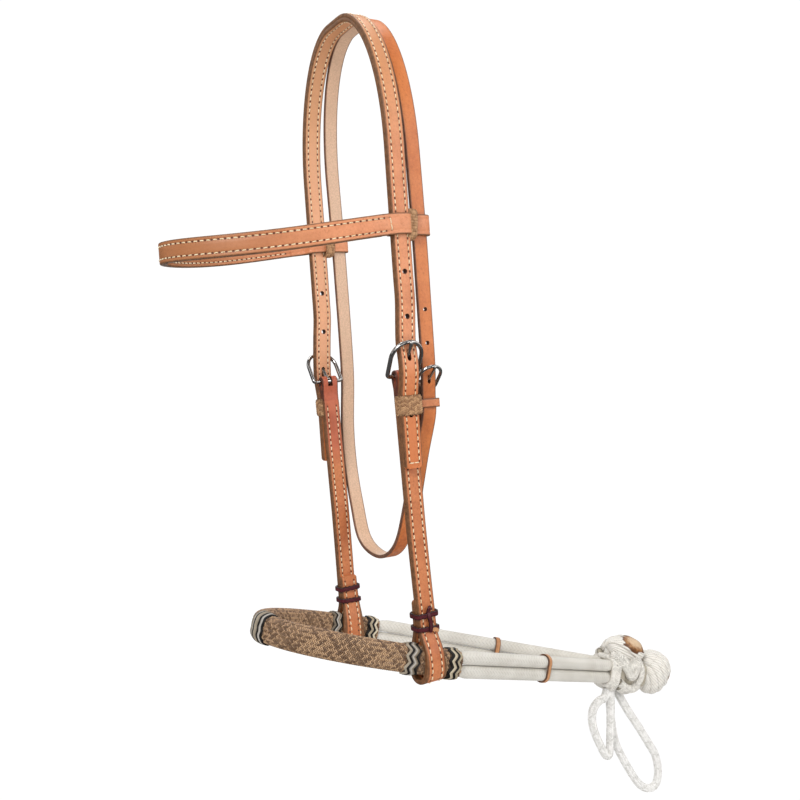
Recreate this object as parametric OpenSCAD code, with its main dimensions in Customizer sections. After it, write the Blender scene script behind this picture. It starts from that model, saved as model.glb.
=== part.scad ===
// Bitless hackamore: western headstall with a rope-cored braided noseband.
// +Z up, -Y towards the nose, +X the horse's left (near) side, -X the far side.
// Origin: underside of the crown at the poll. Units: millimetres and degrees.
// Name endings: _w width, _h height, _t thickness, _d diameter, _r radius.

/* [Straps] */
// Finished width of the crown, cheeks and browband
strap_w = 15; // [14.4:0.2:15.4]
// Thickness of one leather ply
ply_t = 3.1; // [2.9:0.05:3.15]
// Width of the throatlatch strap
throat_w = 12.5; // [12:0.25:12.8]
// Thickness of the throatlatch strap
throat_t = 3; // [2.6:0.1:3]

/* [Crown arch] */
// Half width between the crown straps, at their centrelines
arch_half_w = 74; // [73.8:0.1:74.2]
// Height of the curved part of the arch
arch_rise = 115; // [108:1:118]
// Half length of the flat seat at the poll
seat_half = 10; // [8:1:12]
// Height of the billet tips
tip_z = -357; // [-360:1:-354]
// Diameter of the spare adjusting holes
hole_d = 4.2; // [3.4:0.2:4.6]
// Distance between adjusting holes
hole_pitch = 34; // [32:1:35]

/* [Buckles] */
// Outer width of a cheek buckle
buckle_w = 30; // [29:0.5:30]
// Wire diameter of a cheek buckle
wire_d = 3.2; // [3:0.1:3.2]
// Bar to bow length of a cheek buckle
buckle_length = 29.3; // [29:0.1:29.5]
// Outward lean of the cheek buckles, in degrees
buckle_lean = 31.5; // [31:0.25:32]
// Outer width of the throat buckle
throat_buckle_w = 22; // [21:0.5:23]
// Wire diameter of the throat buckle
throat_wire_d = 2.6; // [2.4:0.1:2.6]

/* [Browband] */
// Height of the browband strap
brow_h = 16; // [14.5:0.5:16]
// Reach of the browband in front of the crown
brow_reach = 160; // [150:2:166]
// Half width of the browband oval
brow_half_w = 79.2; // [79.2:0.1:79.5]
// Drop of the browband from its ends to its front
brow_drop = 15.5; // [10:0.5:18]
// How much lower the near end sits than mid height
brow_skew = 4; // [2:0.5:5]

/* [Noseband] */
// Height of the braided noseband
nose_h = 21.8; // [21.6:0.2:22.4]
// Thickness of the braided noseband
nose_t = 14.5; // [14.25:0.25:15]
// Half width of the noseband at the cheeks
nose_half_w = 68.8; // [68:0.2:69]
// Reach of the noseband in front of the cheeks, at its centreline
nose_reach = 112; // [106:1:116]
// Nose-up tilt of the noseband, in degrees
nose_tilt = 17.3; // [15:0.1:18]
// Radius of each core rope
rope_r = 5.4; // [5.2:0.05:5.45]
// Distance behind the cheeks where the ropes meet
heel_reach = 250; // [244:1:254]

/* [Hidden] */

glue = 0.03;                      // half the gap between two plies
crown_z = ply_t + glue;           // crown centreline at the poll
double_t = 2 * ply_t + 2 * glue;  // two plies together
bar_run = 0.06;                   // radial clearance round a buckle bar

// Heel bar of the near cheek buckle, origin of the cheek frame
bar_x = 66.5;
bar_y = -2.5;
bar_z = -286;
cheek_lean = 1.42;

// Centre between the cheeks, origin of the noseband frame
hub_y = 3.02;
hub_z = -508.7;

leather = [0.87, 0.59, 0.41];
flesh_side = [0.88, 0.73, 0.58];
grain_side = [0.84, 0.49, 0.24];
nickel = [0.72, 0.72, 0.74];
rawhide = [0.60, 0.48, 0.33];
lace_red = [0.32, 0.09, 0.12];
braid_tan = [0.65, 0.51, 0.37];
rope_white = [0.90, 0.89, 0.84];
ring_brown = [0.3, 0.27, 0.22];

// ---------- curves and sections ----------
function unit(v) = v / norm(v);
function reversed(list) = [for (i = [len(list) - 1:-1:0]) list[i]];
function mirrored(path) = [for (p = path) [-p[0], p[1], p[2]]];
// near half of a path, followed by its mirror image on the far side
function near_to_far(half) = concat(half, reversed(mirrored(half)));

// Catmull-Rom curve from p1 to p2
function curve_point(p0, p1, p2, p3, t) = 0.5 * (2 * p1 + (p2 - p0) * t
  + (2 * p0 - 5 * p1 + 4 * p2 - p3) * t * t + (3 * p1 - p0 - 3 * p2 + p3) * t * t * t);
function spline(points, steps) = let (last = len(points) - 1) concat(
  [for (i = [0:last - 1]) for (j = [0:steps - 1])
    curve_point(points[max(i - 1, 0)], points[i], points[i + 1], points[min(i + 2, last)],
      j / steps)],
  [points[last]]);
function tangent(path, i) = unit(path[min(i + 1, len(path) - 1)] - path[max(i - 1, 0)]);
// 2D line moved sideways, to its left for a positive distance
function offset_line(line, distance) = [for (i = [0:len(line) - 1])
  let (along = tangent(line, i)) line[i] + distance * [-along[1], along[0]]];

// Sections are lists of [across the thickness, across the width]
function box_section(from, to, width) =
  [[from, -width / 2], [to, -width / 2], [to, width / 2], [from, width / 2]];
oval_sides = 20;
function oval_section(thickness, height) = [for (i = [0:oval_sides - 1])
  let (angle = 360 * (i + 0.5) / oval_sides, radius = thickness / 2)
  [radius * cos(angle),
   radius * sin(angle) + (sin(angle) > 0 ? 1 : -1) * (height / 2 - radius)]];
function round_section(radius, sides, turn = 0) = [for (i = [0:sides - 1])
  let (angle = 360 / sides * i + turn) radius * [cos(angle), sin(angle)]];

// Section points at each path point; scales can resize the section along the way
function placed_sections(path, section, width_dir, scales = []) = [for (i = [0:len(path) - 1])
  let (along = tangent(path, i),
    across = unit(width_dir - (width_dir * along) * along),
    normal = cross(across, along),
    size = len(scales) > i ? scales[i] : 1)
  for (s = section) path[i] + normal * (s[0] * size) + across * (s[1] * size)];

// Triangles joining two closed rows of points, given each row's first index
function strip(count, from, to) = [for (j = [0:count - 1]) let (k = (j + 1) % count)
  for (face = [[from + j, from + k, to + j], [from + k, to + k, to + j]]) face];
function skin(rows, count, first = 0) = [for (i = [0:rows - 2])
  for (face = strip(count, first + i * count, first + (i + 1) * count)) face];
function flipped(faces) = [for (face = faces) reversed(face)];

// Solid strap or rope: section swept along path, its width near width_dir
module sweep(path, section, width_dir, scales = []) {
  rows = len(path);
  count = len(section);
  polyhedron(placed_sections(path, section, width_dir, scales), concat(
    skin(rows, count),
    [[for (j = [0:count - 1]) count - 1 - j]],
    [[for (j = [0:count - 1]) (rows - 1) * count + j]]));
}

// Hollow sleeve: both sections have the same number of points
module sleeve(path, outer, inner) {
  rows = len(path);
  count = len(outer);
  bore = rows * count;
  end = (rows - 1) * count;
  up = [0, 0, 1];
  polyhedron(
    concat(placed_sections(path, outer, up), placed_sections(path, inner, up)),
    concat(
      skin(rows, count),
      flipped(skin(rows, count, bore)),
      flipped(strip(count, 0, bore)),
      strip(count, end, bore + end)));
}

// ---------- placing ----------
module in_noseband() { translate([0, hub_y, hub_z]) rotate([-nose_tilt, 0, 0]) children(); }
// x outward, z along the cheek strap
module in_cheek() { translate([bar_x, bar_y, bar_z]) rotate([cheek_lean, 0, 0]) children(); }
module on_side(far) { if (far) mirror([1, 0, 0]) children(); else children(); }
// 2D [x, z] shape made solid, centred on y = 0
module along_y(width) {
  translate([0, width / 2, 0]) rotate([90, 0, 0]) linear_extrude(width) children();
}
// 2D upright stadium, centred
module stadium(width, spacing, sides = 48) {
  square([width, spacing], center = true);
  for (s = [-1, 1]) translate([0, s * spacing / 2]) circle(d = width, $fn = sides);
}
// Rectangular band round x0 to x1 and the given width, centred on height z
module wrap(x0, x1, width, z, height, wall) translate([0, 0, z]) difference() {
  translate([x0 - wall, -width / 2 - wall, -height / 2])
    cube([x1 - x0 + 2 * wall, width + 2 * wall, height]);
  translate([x0, -width / 2, -height]) cube([x1 - x0, width, 2 * height]);
}

// ---------- buckles ----------
tongue_r = 1.4;
throat_tongue_r = 1.1;
throat_bow_length = 22;
throat_bow_lean = 45;

// Lean at which a tongue rests on top of the bow wire
function tongue_angle(length, lean, wire, radius) = let (rise = wire / 2 + radius + 0.05)
  atan2(length * sin(lean) + rise * cos(lean), length * cos(lean) - rise * sin(lean));
cheek_tongue_angle = tongue_angle(buckle_length, buckle_lean, wire_d, tongue_r);
throat_tongue_angle =
  tongue_angle(throat_bow_length, throat_bow_lean, throat_wire_d, throat_tongue_r);

// Wire frame: straight bar on the y axis, round bow at the far end
module bow(width, wire, length, lean) {
  radius = width / 2 - wire / 2;
  rotate([0, lean, 0]) {
    translate([0, 0, length - radius]) rotate([90, 0, 90])
      rotate_extrude(angle = 180, $fn = 64) translate([radius, 0]) circle(d = wire, $fn = 24);
    for (s = [-1, 1]) {
      translate([0, s * radius, 0]) cylinder(h = length - radius, d = wire, $fn = 24);
      translate([0, s * radius, 0]) sphere(d = wire, $fn = 24);
    }
    rotate([90, 0, 0]) cylinder(h = 2 * radius, d = wire, center = true, $fn = 24);
  }
}
module tongue(wire, radius, length, angle, eye_r, eye_w) difference() {
  union() {
    rotate([90, 0, 0]) cylinder(h = eye_w, r = eye_r, center = true, $fn = 32);
    rotate([0, angle, 0]) cylinder(h = length, r = radius, $fn = 24);
    rotate([0, angle, 0]) translate([0, 0, length]) sphere(r = radius, $fn = 24);
  }
  rotate([90, 0, 0]) cylinder(h = eye_w + 2, d = wire + 2 * bar_run, center = true, $fn = 32);
}
// Cutter where the tongue passes through a strap, leaning a little past the tongue
module tongue_slot(angle, depth, width, start, length)
  rotate([0, angle + 4, 0]) translate([-depth / 2, -width / 2, start])
    cube([depth, width, length]);

module buckle_frame(far) color(nickel) on_side(far) in_cheek()
  bow(buckle_w, wire_d, buckle_length, buckle_lean);
module buckle_tongue(far) color(nickel) on_side(far) in_cheek()
  tongue(wire_d, tongue_r, length = 31, angle = cheek_tongue_angle, eye_r = 3.4, eye_w = 3.4);
module near_buckle_frame() buckle_frame(false);
module far_buckle_frame() buckle_frame(true);
module near_buckle_tongue() buckle_tongue(false);
module far_buckle_tongue() buckle_tongue(true);

// ---------- crown ----------
top_hole_z = -207.5;
tip_hole_z = -316;

// Near billet centreline [x, y, z], from its tip up to the straight part of the arch
billet_points = [
  [73.1, bar_y, tip_z], [73.1, bar_y, -325], [73.2, bar_y, -306], [73.8, bar_y, -299.5],
  [75.5, bar_y, -292.5], [77, bar_y, -285.5], [77.3, bar_y, -279], [76.45, bar_y, -270],
  [75.2, bar_y, -261], [74.8, bar_y * 0.6, -247], [74.3, 0, -228],
  [arch_half_w, 0, -205], [arch_half_w, 0, -130]];
function arch_z(angle) = crown_z - arch_rise + arch_rise * sin(angle);
arch_points = [for (t = [0:5:90])
  [seat_half + (arch_half_w - seat_half) * cos(t), 0, arch_z(t)]];
crown_path = near_to_far(concat(spline(billet_points, 3), arch_points));

module crown_holes() {
  for (far = [false, true]) on_side(far) {
    for (k = [0, 1])
      translate([arch_half_w - 8, k * bar_y * 0.35, top_hole_z - k * hole_pitch])
        rotate([0, 90, 0]) cylinder(h = 20, d = hole_d, $fn = 24);
    translate([bar_x, bar_y, tip_hole_z])
      rotate([0, 90, 0]) cylinder(h = 14, d = hole_d, $fn = 24);
    in_cheek()
      tongue_slot(cheek_tongue_angle, depth = 6.2, width = 3.9, start = 5, length = 35);
  }
}
module crown_ply(from, to) difference() {
  sweep(crown_path, box_section(from, to, strap_w), [0, 1, 0]);
  crown_holes();
}
module crown_outer_ply() color(leather) crown_ply(glue, glue + ply_t);
module crown_lining_ply() color(flesh_side) crown_ply(-glue - ply_t, -glue);

// ---------- throatlatch ----------
throat_x = 70;         // straight side parts of the strap
throat_y = 19.2;
throat_poll_y = 14.6;  // at the poll, just behind the crown
throat_bulge = 4;      // widening of the arch over the poll
throat_split_z = -194; // where the upper strap gives way to the lower parts
throat_end_z = throat_split_z - 0.4;
throat_bar = [62, throat_y, -296];
throat_holes_z = [-236, -262];

function throat_y_at(z) = throat_y - (throat_y - throat_poll_y)
  * pow(min(1, max(0, (z - throat_split_z) / -throat_split_z)), 1.5);
throat_top_path = near_to_far(concat(
  [for (z = [throat_split_z + 3.2:12:-116]) [throat_x, throat_y_at(z), z]],
  [for (t = [0:6:90]) let (z = arch_z(t), reach = throat_x + throat_bulge * (1 - cos(t)))
    [seat_half + (reach - seat_half) * cos(t), throat_y_at(z), z]]));

// [x, y, z] from the buckle bar down, under the throat and up the far side
throat_lower_path = spline([
  [62, throat_y, -301], [61.6, 18.6, -318], [56, 13, -348], [46, 8, -390], [31, 6.5, -420],
  [8, 6.5, -434], [-18, 7, -433.5], [-41, 9.1, -423], [-59.6, 14.1, -398],
  [-70.8, 16.1, -365], [-73.3, 17, -328], [-71.3, 19.4, -285], [-throat_x, 19.4, -245],
  [-throat_x, throat_y, throat_end_z]], 5);
// [x, y, z] from the billet tip up through the buckle
throat_billet_path = spline([
  [50.5, 8, -392], [60.6, 13, -349.5], [66.4, 18.6, -319], [66.9, throat_y, -305],
  [67.9, throat_y, -296], [69.2, throat_y, -287], [69.8, throat_y, -277],
  [throat_x, throat_y, -262], [throat_x, throat_y, -225],
  [throat_x, throat_y, throat_end_z]], 4);

// Folded strap end round the buckle bar, slotted for the tongue
module throat_chape() {
  bore_r = throat_wire_d / 2 + bar_run;
  outer_r = bore_r + 2.5;
  slot_w = 3.6;
  tail = 5.2;  // bar down to the end of the taper
  difference() {
    union() {
      along_y(throat_w) circle(r = outer_r, $fn = 48);
      along_y(throat_w)
        polygon([[-outer_r, 0], [outer_r, 0], [throat_t, -tail], [-throat_t, -tail]]);
      translate([-throat_t, -throat_w / 2, -tail - 8]) cube([2 * throat_t, throat_w, 8.2]);
      translate([-throat_t / 2, -throat_w / 2, -tail - 12]) cube([throat_t, throat_w, 5]);
    }
    along_y(throat_w + 2) circle(r = bore_r, $fn = 48);
    translate([-10, -slot_w / 2, -bore_r - 2.6]) cube([20, slot_w, 30]);
  }
}
throat_section = box_section(-throat_t / 2, throat_t / 2, throat_w);
module throat_upper_strap() color(grain_side) sweep(throat_top_path, throat_section, [0, 1, 0]);
module throat_lower_strap() color(flesh_side) {
  // this section's points run the opposite way round
  sweep(throat_lower_path, box_section(throat_t / 2, -throat_t / 2, throat_w), [0, 1, 0]);
  translate(throat_bar) throat_chape();
}
module throat_billet() color(grain_side) difference() {
  sweep(throat_billet_path, throat_section, [0, 1, 0]);
  for (z = throat_holes_z) translate([throat_x - 10, throat_y, z])
    rotate([0, 90, 0]) cylinder(h = 20, d = 3.6, $fn = 24);
  translate(throat_bar)
    tongue_slot(throat_tongue_angle, depth = 5.2, width = 3.2, start = 4, length = 26);
}
module throat_buckle_frame() color(nickel) translate(throat_bar)
  bow(throat_buckle_w, throat_wire_d, throat_bow_length, throat_bow_lean);
module throat_buckle_tongue() color(nickel) translate(throat_bar)
  tongue(throat_wire_d, throat_tongue_r, length = 24.5, angle = throat_tongue_angle,
    eye_r = 2.6, eye_w = 2.8);
module throat_keeper() color(leather) translate([throat_bar[0], throat_y, -312]) {
  opening = [10.3, throat_w + 1.4];
  wall = 1.5;
  height = 7;
  middle = [1.75, 0, height / 2];
  difference() {
    translate(middle)
      cube([opening[0] + 2 * wall, opening[1] + 2 * wall, height], center = true);
    translate(middle) cube([opening[0], opening[1], height + 2], center = true);
  }
}

// ---------- cheeks, in the cheek frame ----------
cheek_end_z = -201;
cheek_end_x = 2.1;
fold_t = 4.2;
fold_x = cheek_end_x - double_t / 2 - fold_t;  // inner face of the folded-back end
keeper_z = -22.8;
keeper_h = 15;
// Strap centreline [x, z], from just below the buckle bar
cheek_line = spline([[0, -10], [0, -60], [0, -120], [1.2, -160], [cheek_end_x, -182],
  [cheek_end_x, cheek_end_z]], 4);

module cheek_strap(far) {
  bore_r = wire_d / 2 + bar_run;
  outer_r = bore_r + ply_t;
  color(leather) on_side(far) in_cheek() difference() {
    union() {
      along_y(strap_w) polygon(concat(offset_line(cheek_line, double_t / 2),
        reversed(offset_line(cheek_line, -double_t / 2))));
      along_y(strap_w) circle(r = outer_r, $fn = 48);
      along_y(strap_w) polygon([[-outer_r, 0], [outer_r, 0],
        [double_t / 2, -11], [-double_t / 2, -11]]);
      // folded-back end, inside, held by the lace
      translate([fold_x, -strap_w / 2, cheek_end_z]) cube([fold_t + 0.1, strap_w, 27]);
    }
    along_y(strap_w + 2) circle(r = bore_r, $fn = 48);
    // slot for the buckle tongue
    translate([-12, -2.1, -4.2]) cube([24, 4.2, 30]);
    // gap between the plies, where the keeper is sewn in
    translate([-0.95, -strap_w, keeper_z - keeper_h / 2 - 0.15])
      cube([1.9, 2 * strap_w, keeper_h + 0.3]);
  }
}
module near_cheek_strap() cheek_strap(false);
module far_cheek_strap() cheek_strap(true);

// Two bands round the strap and its fold, joined by an upright on the outside
module cheek_lace(far) color(lace_red) on_side(far) in_cheek() {
  clear = 0.15;
  outer_x = cheek_end_x + double_t / 2 + clear;
  for (z = [-185.4, -196.2])
    wrap(fold_x - clear, outer_x, strap_w + 2 * clear, z, height = 4, wall = 1.7);
  translate([outer_x + 0.05, -2, -197]) cube([1.6, 4, 12]);
}
module near_cheek_lace() cheek_lace(false);
module far_cheek_lace() cheek_lace(true);

module keeper(far) color(rawhide) on_side(far) in_cheek()
  wrap(0.8, 10.7, strap_w + 1.6, keeper_z, keeper_h, wall = 1.6);
module near_keeper() keeper(false);
module far_keeper() keeper(true);

// Looped end of the cheek strap round the noseband
module noseband_loop(far) {
  loop_w = 22.4;
  loop_h = 34;
  bore_w = nose_t + 0.8;
  color(leather) on_side(far) difference() {
    in_cheek() along_y(strap_w) union() {
      translate([nose_half_w - bar_x, -222.8]) stadium(loop_w, loop_h - loop_w, 64);
      translate([fold_x, -214]) square([double_t + fold_t, 11.4]);
    }
    in_noseband() translate([nose_half_w, 16, 0]) rotate([90, 0, 0]) linear_extrude(32)
      stadium(bore_w, nose_h - nose_t);
  }
}
module near_noseband_loop() noseband_loop(false);
module far_noseband_loop() noseband_loop(true);

// ---------- browband ----------
brow_z = -167.5;           // mid height of its ends
brow_seam = 0.08;          // half the gap between its plies
brow_face = ply_t - 0.4;   // centreline to either outer face
waist_x = [68.4, 75.2];    // narrow part of the loop, under the tie

function brow_z_at(x, y) = brow_z
  - brow_drop * pow(sin(90 * min(1, max(0, -y / brow_reach))), 1.2)
  - brow_skew * x / arch_half_w;
function loop_z(far) = brow_z + (far ? 1 : -1) * brow_skew;
brow_path = [for (t = [6:5.25:174]) let (x = brow_half_w * cos(t), y = -brow_reach * sin(t))
  [x, y, brow_z_at(x, y)]];

module browband_ply(from, to) sweep(brow_path, box_section(from, to, brow_h), [0, 0, 1]);
module browband_outer_ply() color(leather) browband_ply(brow_seam, brow_face);
module browband_lining_ply() color(leather) browband_ply(-brow_face, -brow_seam);

// Loop with one opening for the crown strap and one behind it for the throatlatch
module browband_loop(far) color(leather)
translate([0, 0, loop_z(far) - brow_h / 2]) on_side(far) difference() {
  linear_extrude(brow_h) difference() {
    union() {
      translate([arch_half_w - 5.8, -10.1]) square([11.6, 20.2]);
      translate([throat_x - 4, 9.5]) square([8, throat_y + 8.8 - 9.5]);
    }
    translate([arch_half_w - 3.7, -7.9]) square([7.4, 15.8]);
    translate([throat_x - 2, throat_y - 6.75]) square([4, 13.5]);
  }
  // waist taken in by the tie
  translate([waist_x[1], 8.3, -1]) cube([6, 2.9, brow_h + 2]);
  translate([waist_x[0] - 8.4, 8.3, -1]) cube([8.4, 2.9, brow_h + 2]);
}
module near_browband_loop() browband_loop(false);
module far_browband_loop() browband_loop(true);

module browband_tie(far) {
  clear = 0.2;
  side = clear + 1.6;
  cap = clear + 1.7;
  waist_w = waist_x[1] - waist_x[0];
  color(rawhide) on_side(far) translate([0, 8.6, loop_z(far)]) difference() {
    translate([waist_x[0] - side, 0, -brow_h / 2 - cap])
      cube([waist_w + 2 * side, 2.3, brow_h + 2 * cap]);
    translate([waist_x[0] - clear, -1, -brow_h / 2 - clear])
      cube([waist_w + 2 * clear, 5, brow_h + 2 * clear]);
  }
}
module near_browband_tie() browband_tie(false);
module far_browband_tie() browband_tie(true);

// ---------- noseband, in the noseband frame ----------
bend_start = 12;   // behind the cheeks the sides curve in here,
bend_end = 42;     // then run straight to the heel
heel_half_w = 5.6; // rope centreline to x = 0 at the heel
tail_slope = (nose_half_w - heel_half_w) / (heel_reach - (bend_start + bend_end) / 2);
bend_rate = tail_slope / (2 * (bend_end - bend_start));
braid_end = 26;    // distance behind the cheeks
rope_lift = rope_r + 0.1;
// the ropes are drawn thinner where the braid grips them, full size behind it
grip_scale = 0.84;

// Half width of the plan at y
function plan_x(y) =
  y <= 0 ? nose_half_w * sqrt(max(0, 1 - y * y / (nose_reach * nose_reach)))
  : y < bend_start ? nose_half_w
  : y < bend_end ? nose_half_w - bend_rate * (y - bend_start) * (y - bend_start)
  : nose_half_w - bend_rate * (bend_end - bend_start) * (bend_end - bend_start)
    - tail_slope * (y - bend_end);
// Near half of the loop, from the nose back to y = end
function half_loop(end) = concat(
  [for (t = [90:-6:0]) [nose_half_w * cos(t), -nose_reach * sin(t), 0]],
  [for (y = [bend_start:6:bend_end]) if (y < end) [plan_x(y), y, 0]],
  [[plan_x(end), end, 0]]);
function full_loop(end) = let (half = half_loop(end))
  concat(reversed(mirrored(half)), [for (i = [1:len(half) - 1]) half[i]]);
function side_run(from, to) = [for (i = [0:4]) let (y = from + (to - from) * i / 4)
  [plan_x(y), y, 0]];
function rope_scale(y) = y < braid_end ? grip_scale
  : min(1, grip_scale + (1 - grip_scale) * (y - braid_end) / 10);

module core_rope(lift) color(rope_white) in_noseband() {
  loop = full_loop(heel_reach);
  sweep([for (p = loop) [p[0], p[1], lift * rope_scale(p[1])]], round_section(rope_r, 12),
    [0, 0, 1], [for (p = loop) rope_scale(p[1])]);
}
module upper_core_rope() core_rope(rope_lift);
module lower_core_rope() core_rope(-rope_lift);

module noseband_braid() color(braid_tan) in_noseband()
  sleeve(full_loop(braid_end), oval_section(nose_t, nose_h),
    oval_section(2 * grip_scale * rope_r + 0.7, 4 * grip_scale * rope_r + 0.9));

// Bands round the braid
module ring(path) color(ring_brown) in_noseband()
  sleeve(path, oval_section(nose_t + 3.2, nose_h + 3.2),
    oval_section(nose_t + 0.4, nose_h + 0.4));
module front_ring(far) on_side(far) ring(side_run(-24.2, -13.3));
module rear_ring(far) on_side(far) ring(side_run(12.9, 24.4));
module nose_ring()
  ring([for (t = [-8.4:2.1:8.4]) [nose_half_w * sin(t), -nose_reach * cos(t), 0]]);
module near_front_ring() front_ring(false);
module far_front_ring() front_ring(true);
module near_rear_ring() rear_ring(false);
module far_rear_ring() rear_ring(true);

// Band holding the two ropes together, part way to the heel
module rope_keeper(far) {
  y = 140;
  width = 4.8;
  color(rawhide) on_side(far) in_noseband()
    translate([plan_x(y), y, 0]) rotate([90, 0, atan(tail_slope)])
    translate([0, 0, -width / 2]) linear_extrude(width) difference() {
      stadium(2 * (rope_r + 1.7), 2 * rope_lift);
      stadium(2 * (rope_r + 0.3), 2 * rope_lift);
    }
}
module near_rope_keeper() rope_keeper(false);
module far_rope_keeper() rope_keeper(true);

// ---------- heel, in the noseband frame ----------
upper_knob = [0, 265, 21.5];
rear_knob = [0, 305, 4.2];

// Hollow box round the rope ends and a round neck, scooped out for the knobs
module heel_binding() {
  scoop_r = 14.4;
  scoop_half = 8;  // half length of the flat between the two scoops
  color(rope_white) in_noseband() difference() {
    union() {
      translate([-15.6, heel_reach - 8, -13.5]) cube([31.2, 16, 27]);
      translate([0, heel_reach + 35, 0]) rotate([90, 0, 0]) cylinder(h = 30, r = 14.5, $fn = 48);
    }
    translate([-14.2, heel_reach - 9, -11.9]) cube([28.4, 11.7, 23.8]);
    for (s = [-1, 1]) translate(upper_knob + [0, s * scoop_half, 0])
      rotate([0, 90, 0]) cylinder(h = 60, r = scoop_r, center = true, $fn = 64);
    translate(upper_knob - [30, scoop_half, scoop_r]) cube([60, 2 * scoop_half, 20]);
    translate(rear_knob) rotate([0, 90, 0]) cylinder(h = 60, r = 19.6, center = true, $fn = 64);
  }
}
// Rounded knot of revolution with its axis along y
module knot(place, radius, half_length) color(rope_white) in_noseband()
  translate(place) rotate([90, 0, 0]) rotate_extrude($fn = 64)
    polygon([for (t = [-90:11.25:90])
      [max(0, radius * pow(cos(t), 0.8)), half_length * sin(t)]]);
module heel_knob_upper() knot(upper_knob, radius = 13.6, half_length = 22);
module heel_knob_rear() knot(rear_knob, radius = 20.2, half_length = 16.8);

// ---------- hanging cord loops ----------
cord_r = 3.6;
// [y, z] from the place where each loop leaves the heel
short_loop = [
  [-5, -5.5], [-12, -7], [-19, -12], [-22, -20], [-20.5, -33], [-13.5, -50], [-8.5, -59.5],
  [-5.2, -62.5], [-2.4, -59], [-0.4, -43], [1.2, -24], [2.4, -11], [2.8, -5.5]];
long_loop = [
  [-3.4, -6], [-5.2, -18], [-4.6, -36], [-0.3, -58], [12, -83], [26, -105], [39, -113],
  [48.5, -110.5], [52.5, -98], [50, -82], [41.5, -67], [31, -50], [16.5, -28], [8, -13],
  [5, -6]];
module cord(points) sweep(spline([for (p = points) [0, p[0], p[1]]], 3),
  round_section(cord_r, 8, 22.5), [1, 0, 0]);
module rein_loop_short() color(rope_white) translate([4.4, 236.5, -601]) cord(short_loop);
module rein_loop_long() color(rope_white) translate([-4.4, 250.5, -601]) cord(long_loop);

crown_outer_ply();
crown_lining_ply();
throat_upper_strap();
near_cheek_strap();
far_cheek_strap();
near_cheek_lace();
far_cheek_lace();
browband_outer_ply();
browband_lining_ply();
near_browband_loop();
far_browband_loop();
near_browband_tie();
far_browband_tie();
near_buckle_frame();
far_buckle_frame();
near_buckle_tongue();
far_buckle_tongue();
near_keeper();
far_keeper();
throat_lower_strap();
throat_billet();
throat_buckle_frame();
throat_buckle_tongue();
throat_keeper();
near_noseband_loop();
far_noseband_loop();
upper_core_rope();
lower_core_rope();
noseband_braid();
nose_ring();
near_front_ring();
far_front_ring();
near_rear_ring();
far_rear_ring();
near_rope_keeper();
far_rope_keeper();
heel_binding();
heel_knob_upper();
heel_knob_rear();
rein_loop_short();
rein_loop_long();
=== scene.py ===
# A bosal headstall: leather crown, browband, throatlatch and cheek straps, a braided noseband
# on white rope, two rope knobs at its heel and two rein loops.
# Shapes are in millimetres until make() turns them into metres. +Z is up and the nose points
# to -Y. The near side is +X; most far pieces are the near ones mirrored into -X.
import math
from types import SimpleNamespace

import bmesh
import bpy
import numpy as np
from mathutils import Matrix, Vector


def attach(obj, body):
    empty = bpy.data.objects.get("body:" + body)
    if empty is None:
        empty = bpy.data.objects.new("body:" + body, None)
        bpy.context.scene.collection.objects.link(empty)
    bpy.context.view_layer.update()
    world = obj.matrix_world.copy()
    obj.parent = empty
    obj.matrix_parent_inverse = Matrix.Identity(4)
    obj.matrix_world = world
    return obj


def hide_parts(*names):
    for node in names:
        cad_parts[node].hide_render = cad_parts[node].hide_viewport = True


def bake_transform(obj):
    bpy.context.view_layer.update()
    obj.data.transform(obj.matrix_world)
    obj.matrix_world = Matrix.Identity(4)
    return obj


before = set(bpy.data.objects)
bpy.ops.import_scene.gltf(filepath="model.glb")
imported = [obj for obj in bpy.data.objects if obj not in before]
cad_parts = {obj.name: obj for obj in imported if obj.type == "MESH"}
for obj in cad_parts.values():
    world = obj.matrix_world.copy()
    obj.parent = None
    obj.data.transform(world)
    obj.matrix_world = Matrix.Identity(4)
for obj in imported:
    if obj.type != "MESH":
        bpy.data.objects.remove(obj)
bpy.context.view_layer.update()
rng = np.random.default_rng(7)

SIDES = ("near", "far")
X_AXIS, Y_AXIS, Z_AXIS = np.eye(3)
MIRROR = np.array([-1.0, 1.0, 1.0])


# ------------------------------------------------------------------ lines
def vec(*values):
    return np.array(values, float)


def unit(v):
    v = np.asarray(v, float)
    return v / np.maximum(np.linalg.norm(v, axis=-1, keepdims=True), 1e-12)


def circle(count):
    """evenly spaced angles round a circle"""
    return np.arange(count) * 2 * math.pi / count


def spline(points, steps, closed=False):
    """Catmull-Rom curve through the points, with a number of steps per span"""
    points = np.asarray(points, float)
    before, after = (points[-1:], points[:2]) if closed else (points[:1], points[-1:])
    line = np.vstack([before, points, after])
    curve = [0.5 * (2 * b + (c - a) * t + (2 * a - 5 * b + 4 * c - d) * t * t
                    + (3 * b - a - 3 * c + d) * t ** 3)
             for a, b, c, d in zip(line, line[1:], line[2:], line[3:])
             for t in np.arange(steps) / steps]
    return np.array(curve if closed else curve + [points[-1]])


def lengths(points):
    """distance along the line at each point"""
    return np.concatenate([[0], np.cumsum(np.linalg.norm(np.diff(points, axis=0), axis=1))])


def interpolate(values, run, stations):
    return np.stack([np.interp(stations, run, values[:, k]) for k in range(3)], -1)


def resample(points, step):
    """even spacing along the line, smoothed once"""
    run = lengths(points)
    count = max(3, int(round(run[-1] / step)) + 1)
    line = interpolate(points, run, np.linspace(0, run[-1], count))
    line[1:-1] = 0.25 * line[:-2] + 0.5 * line[1:-1] + 0.25 * line[2:]
    return line


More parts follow.
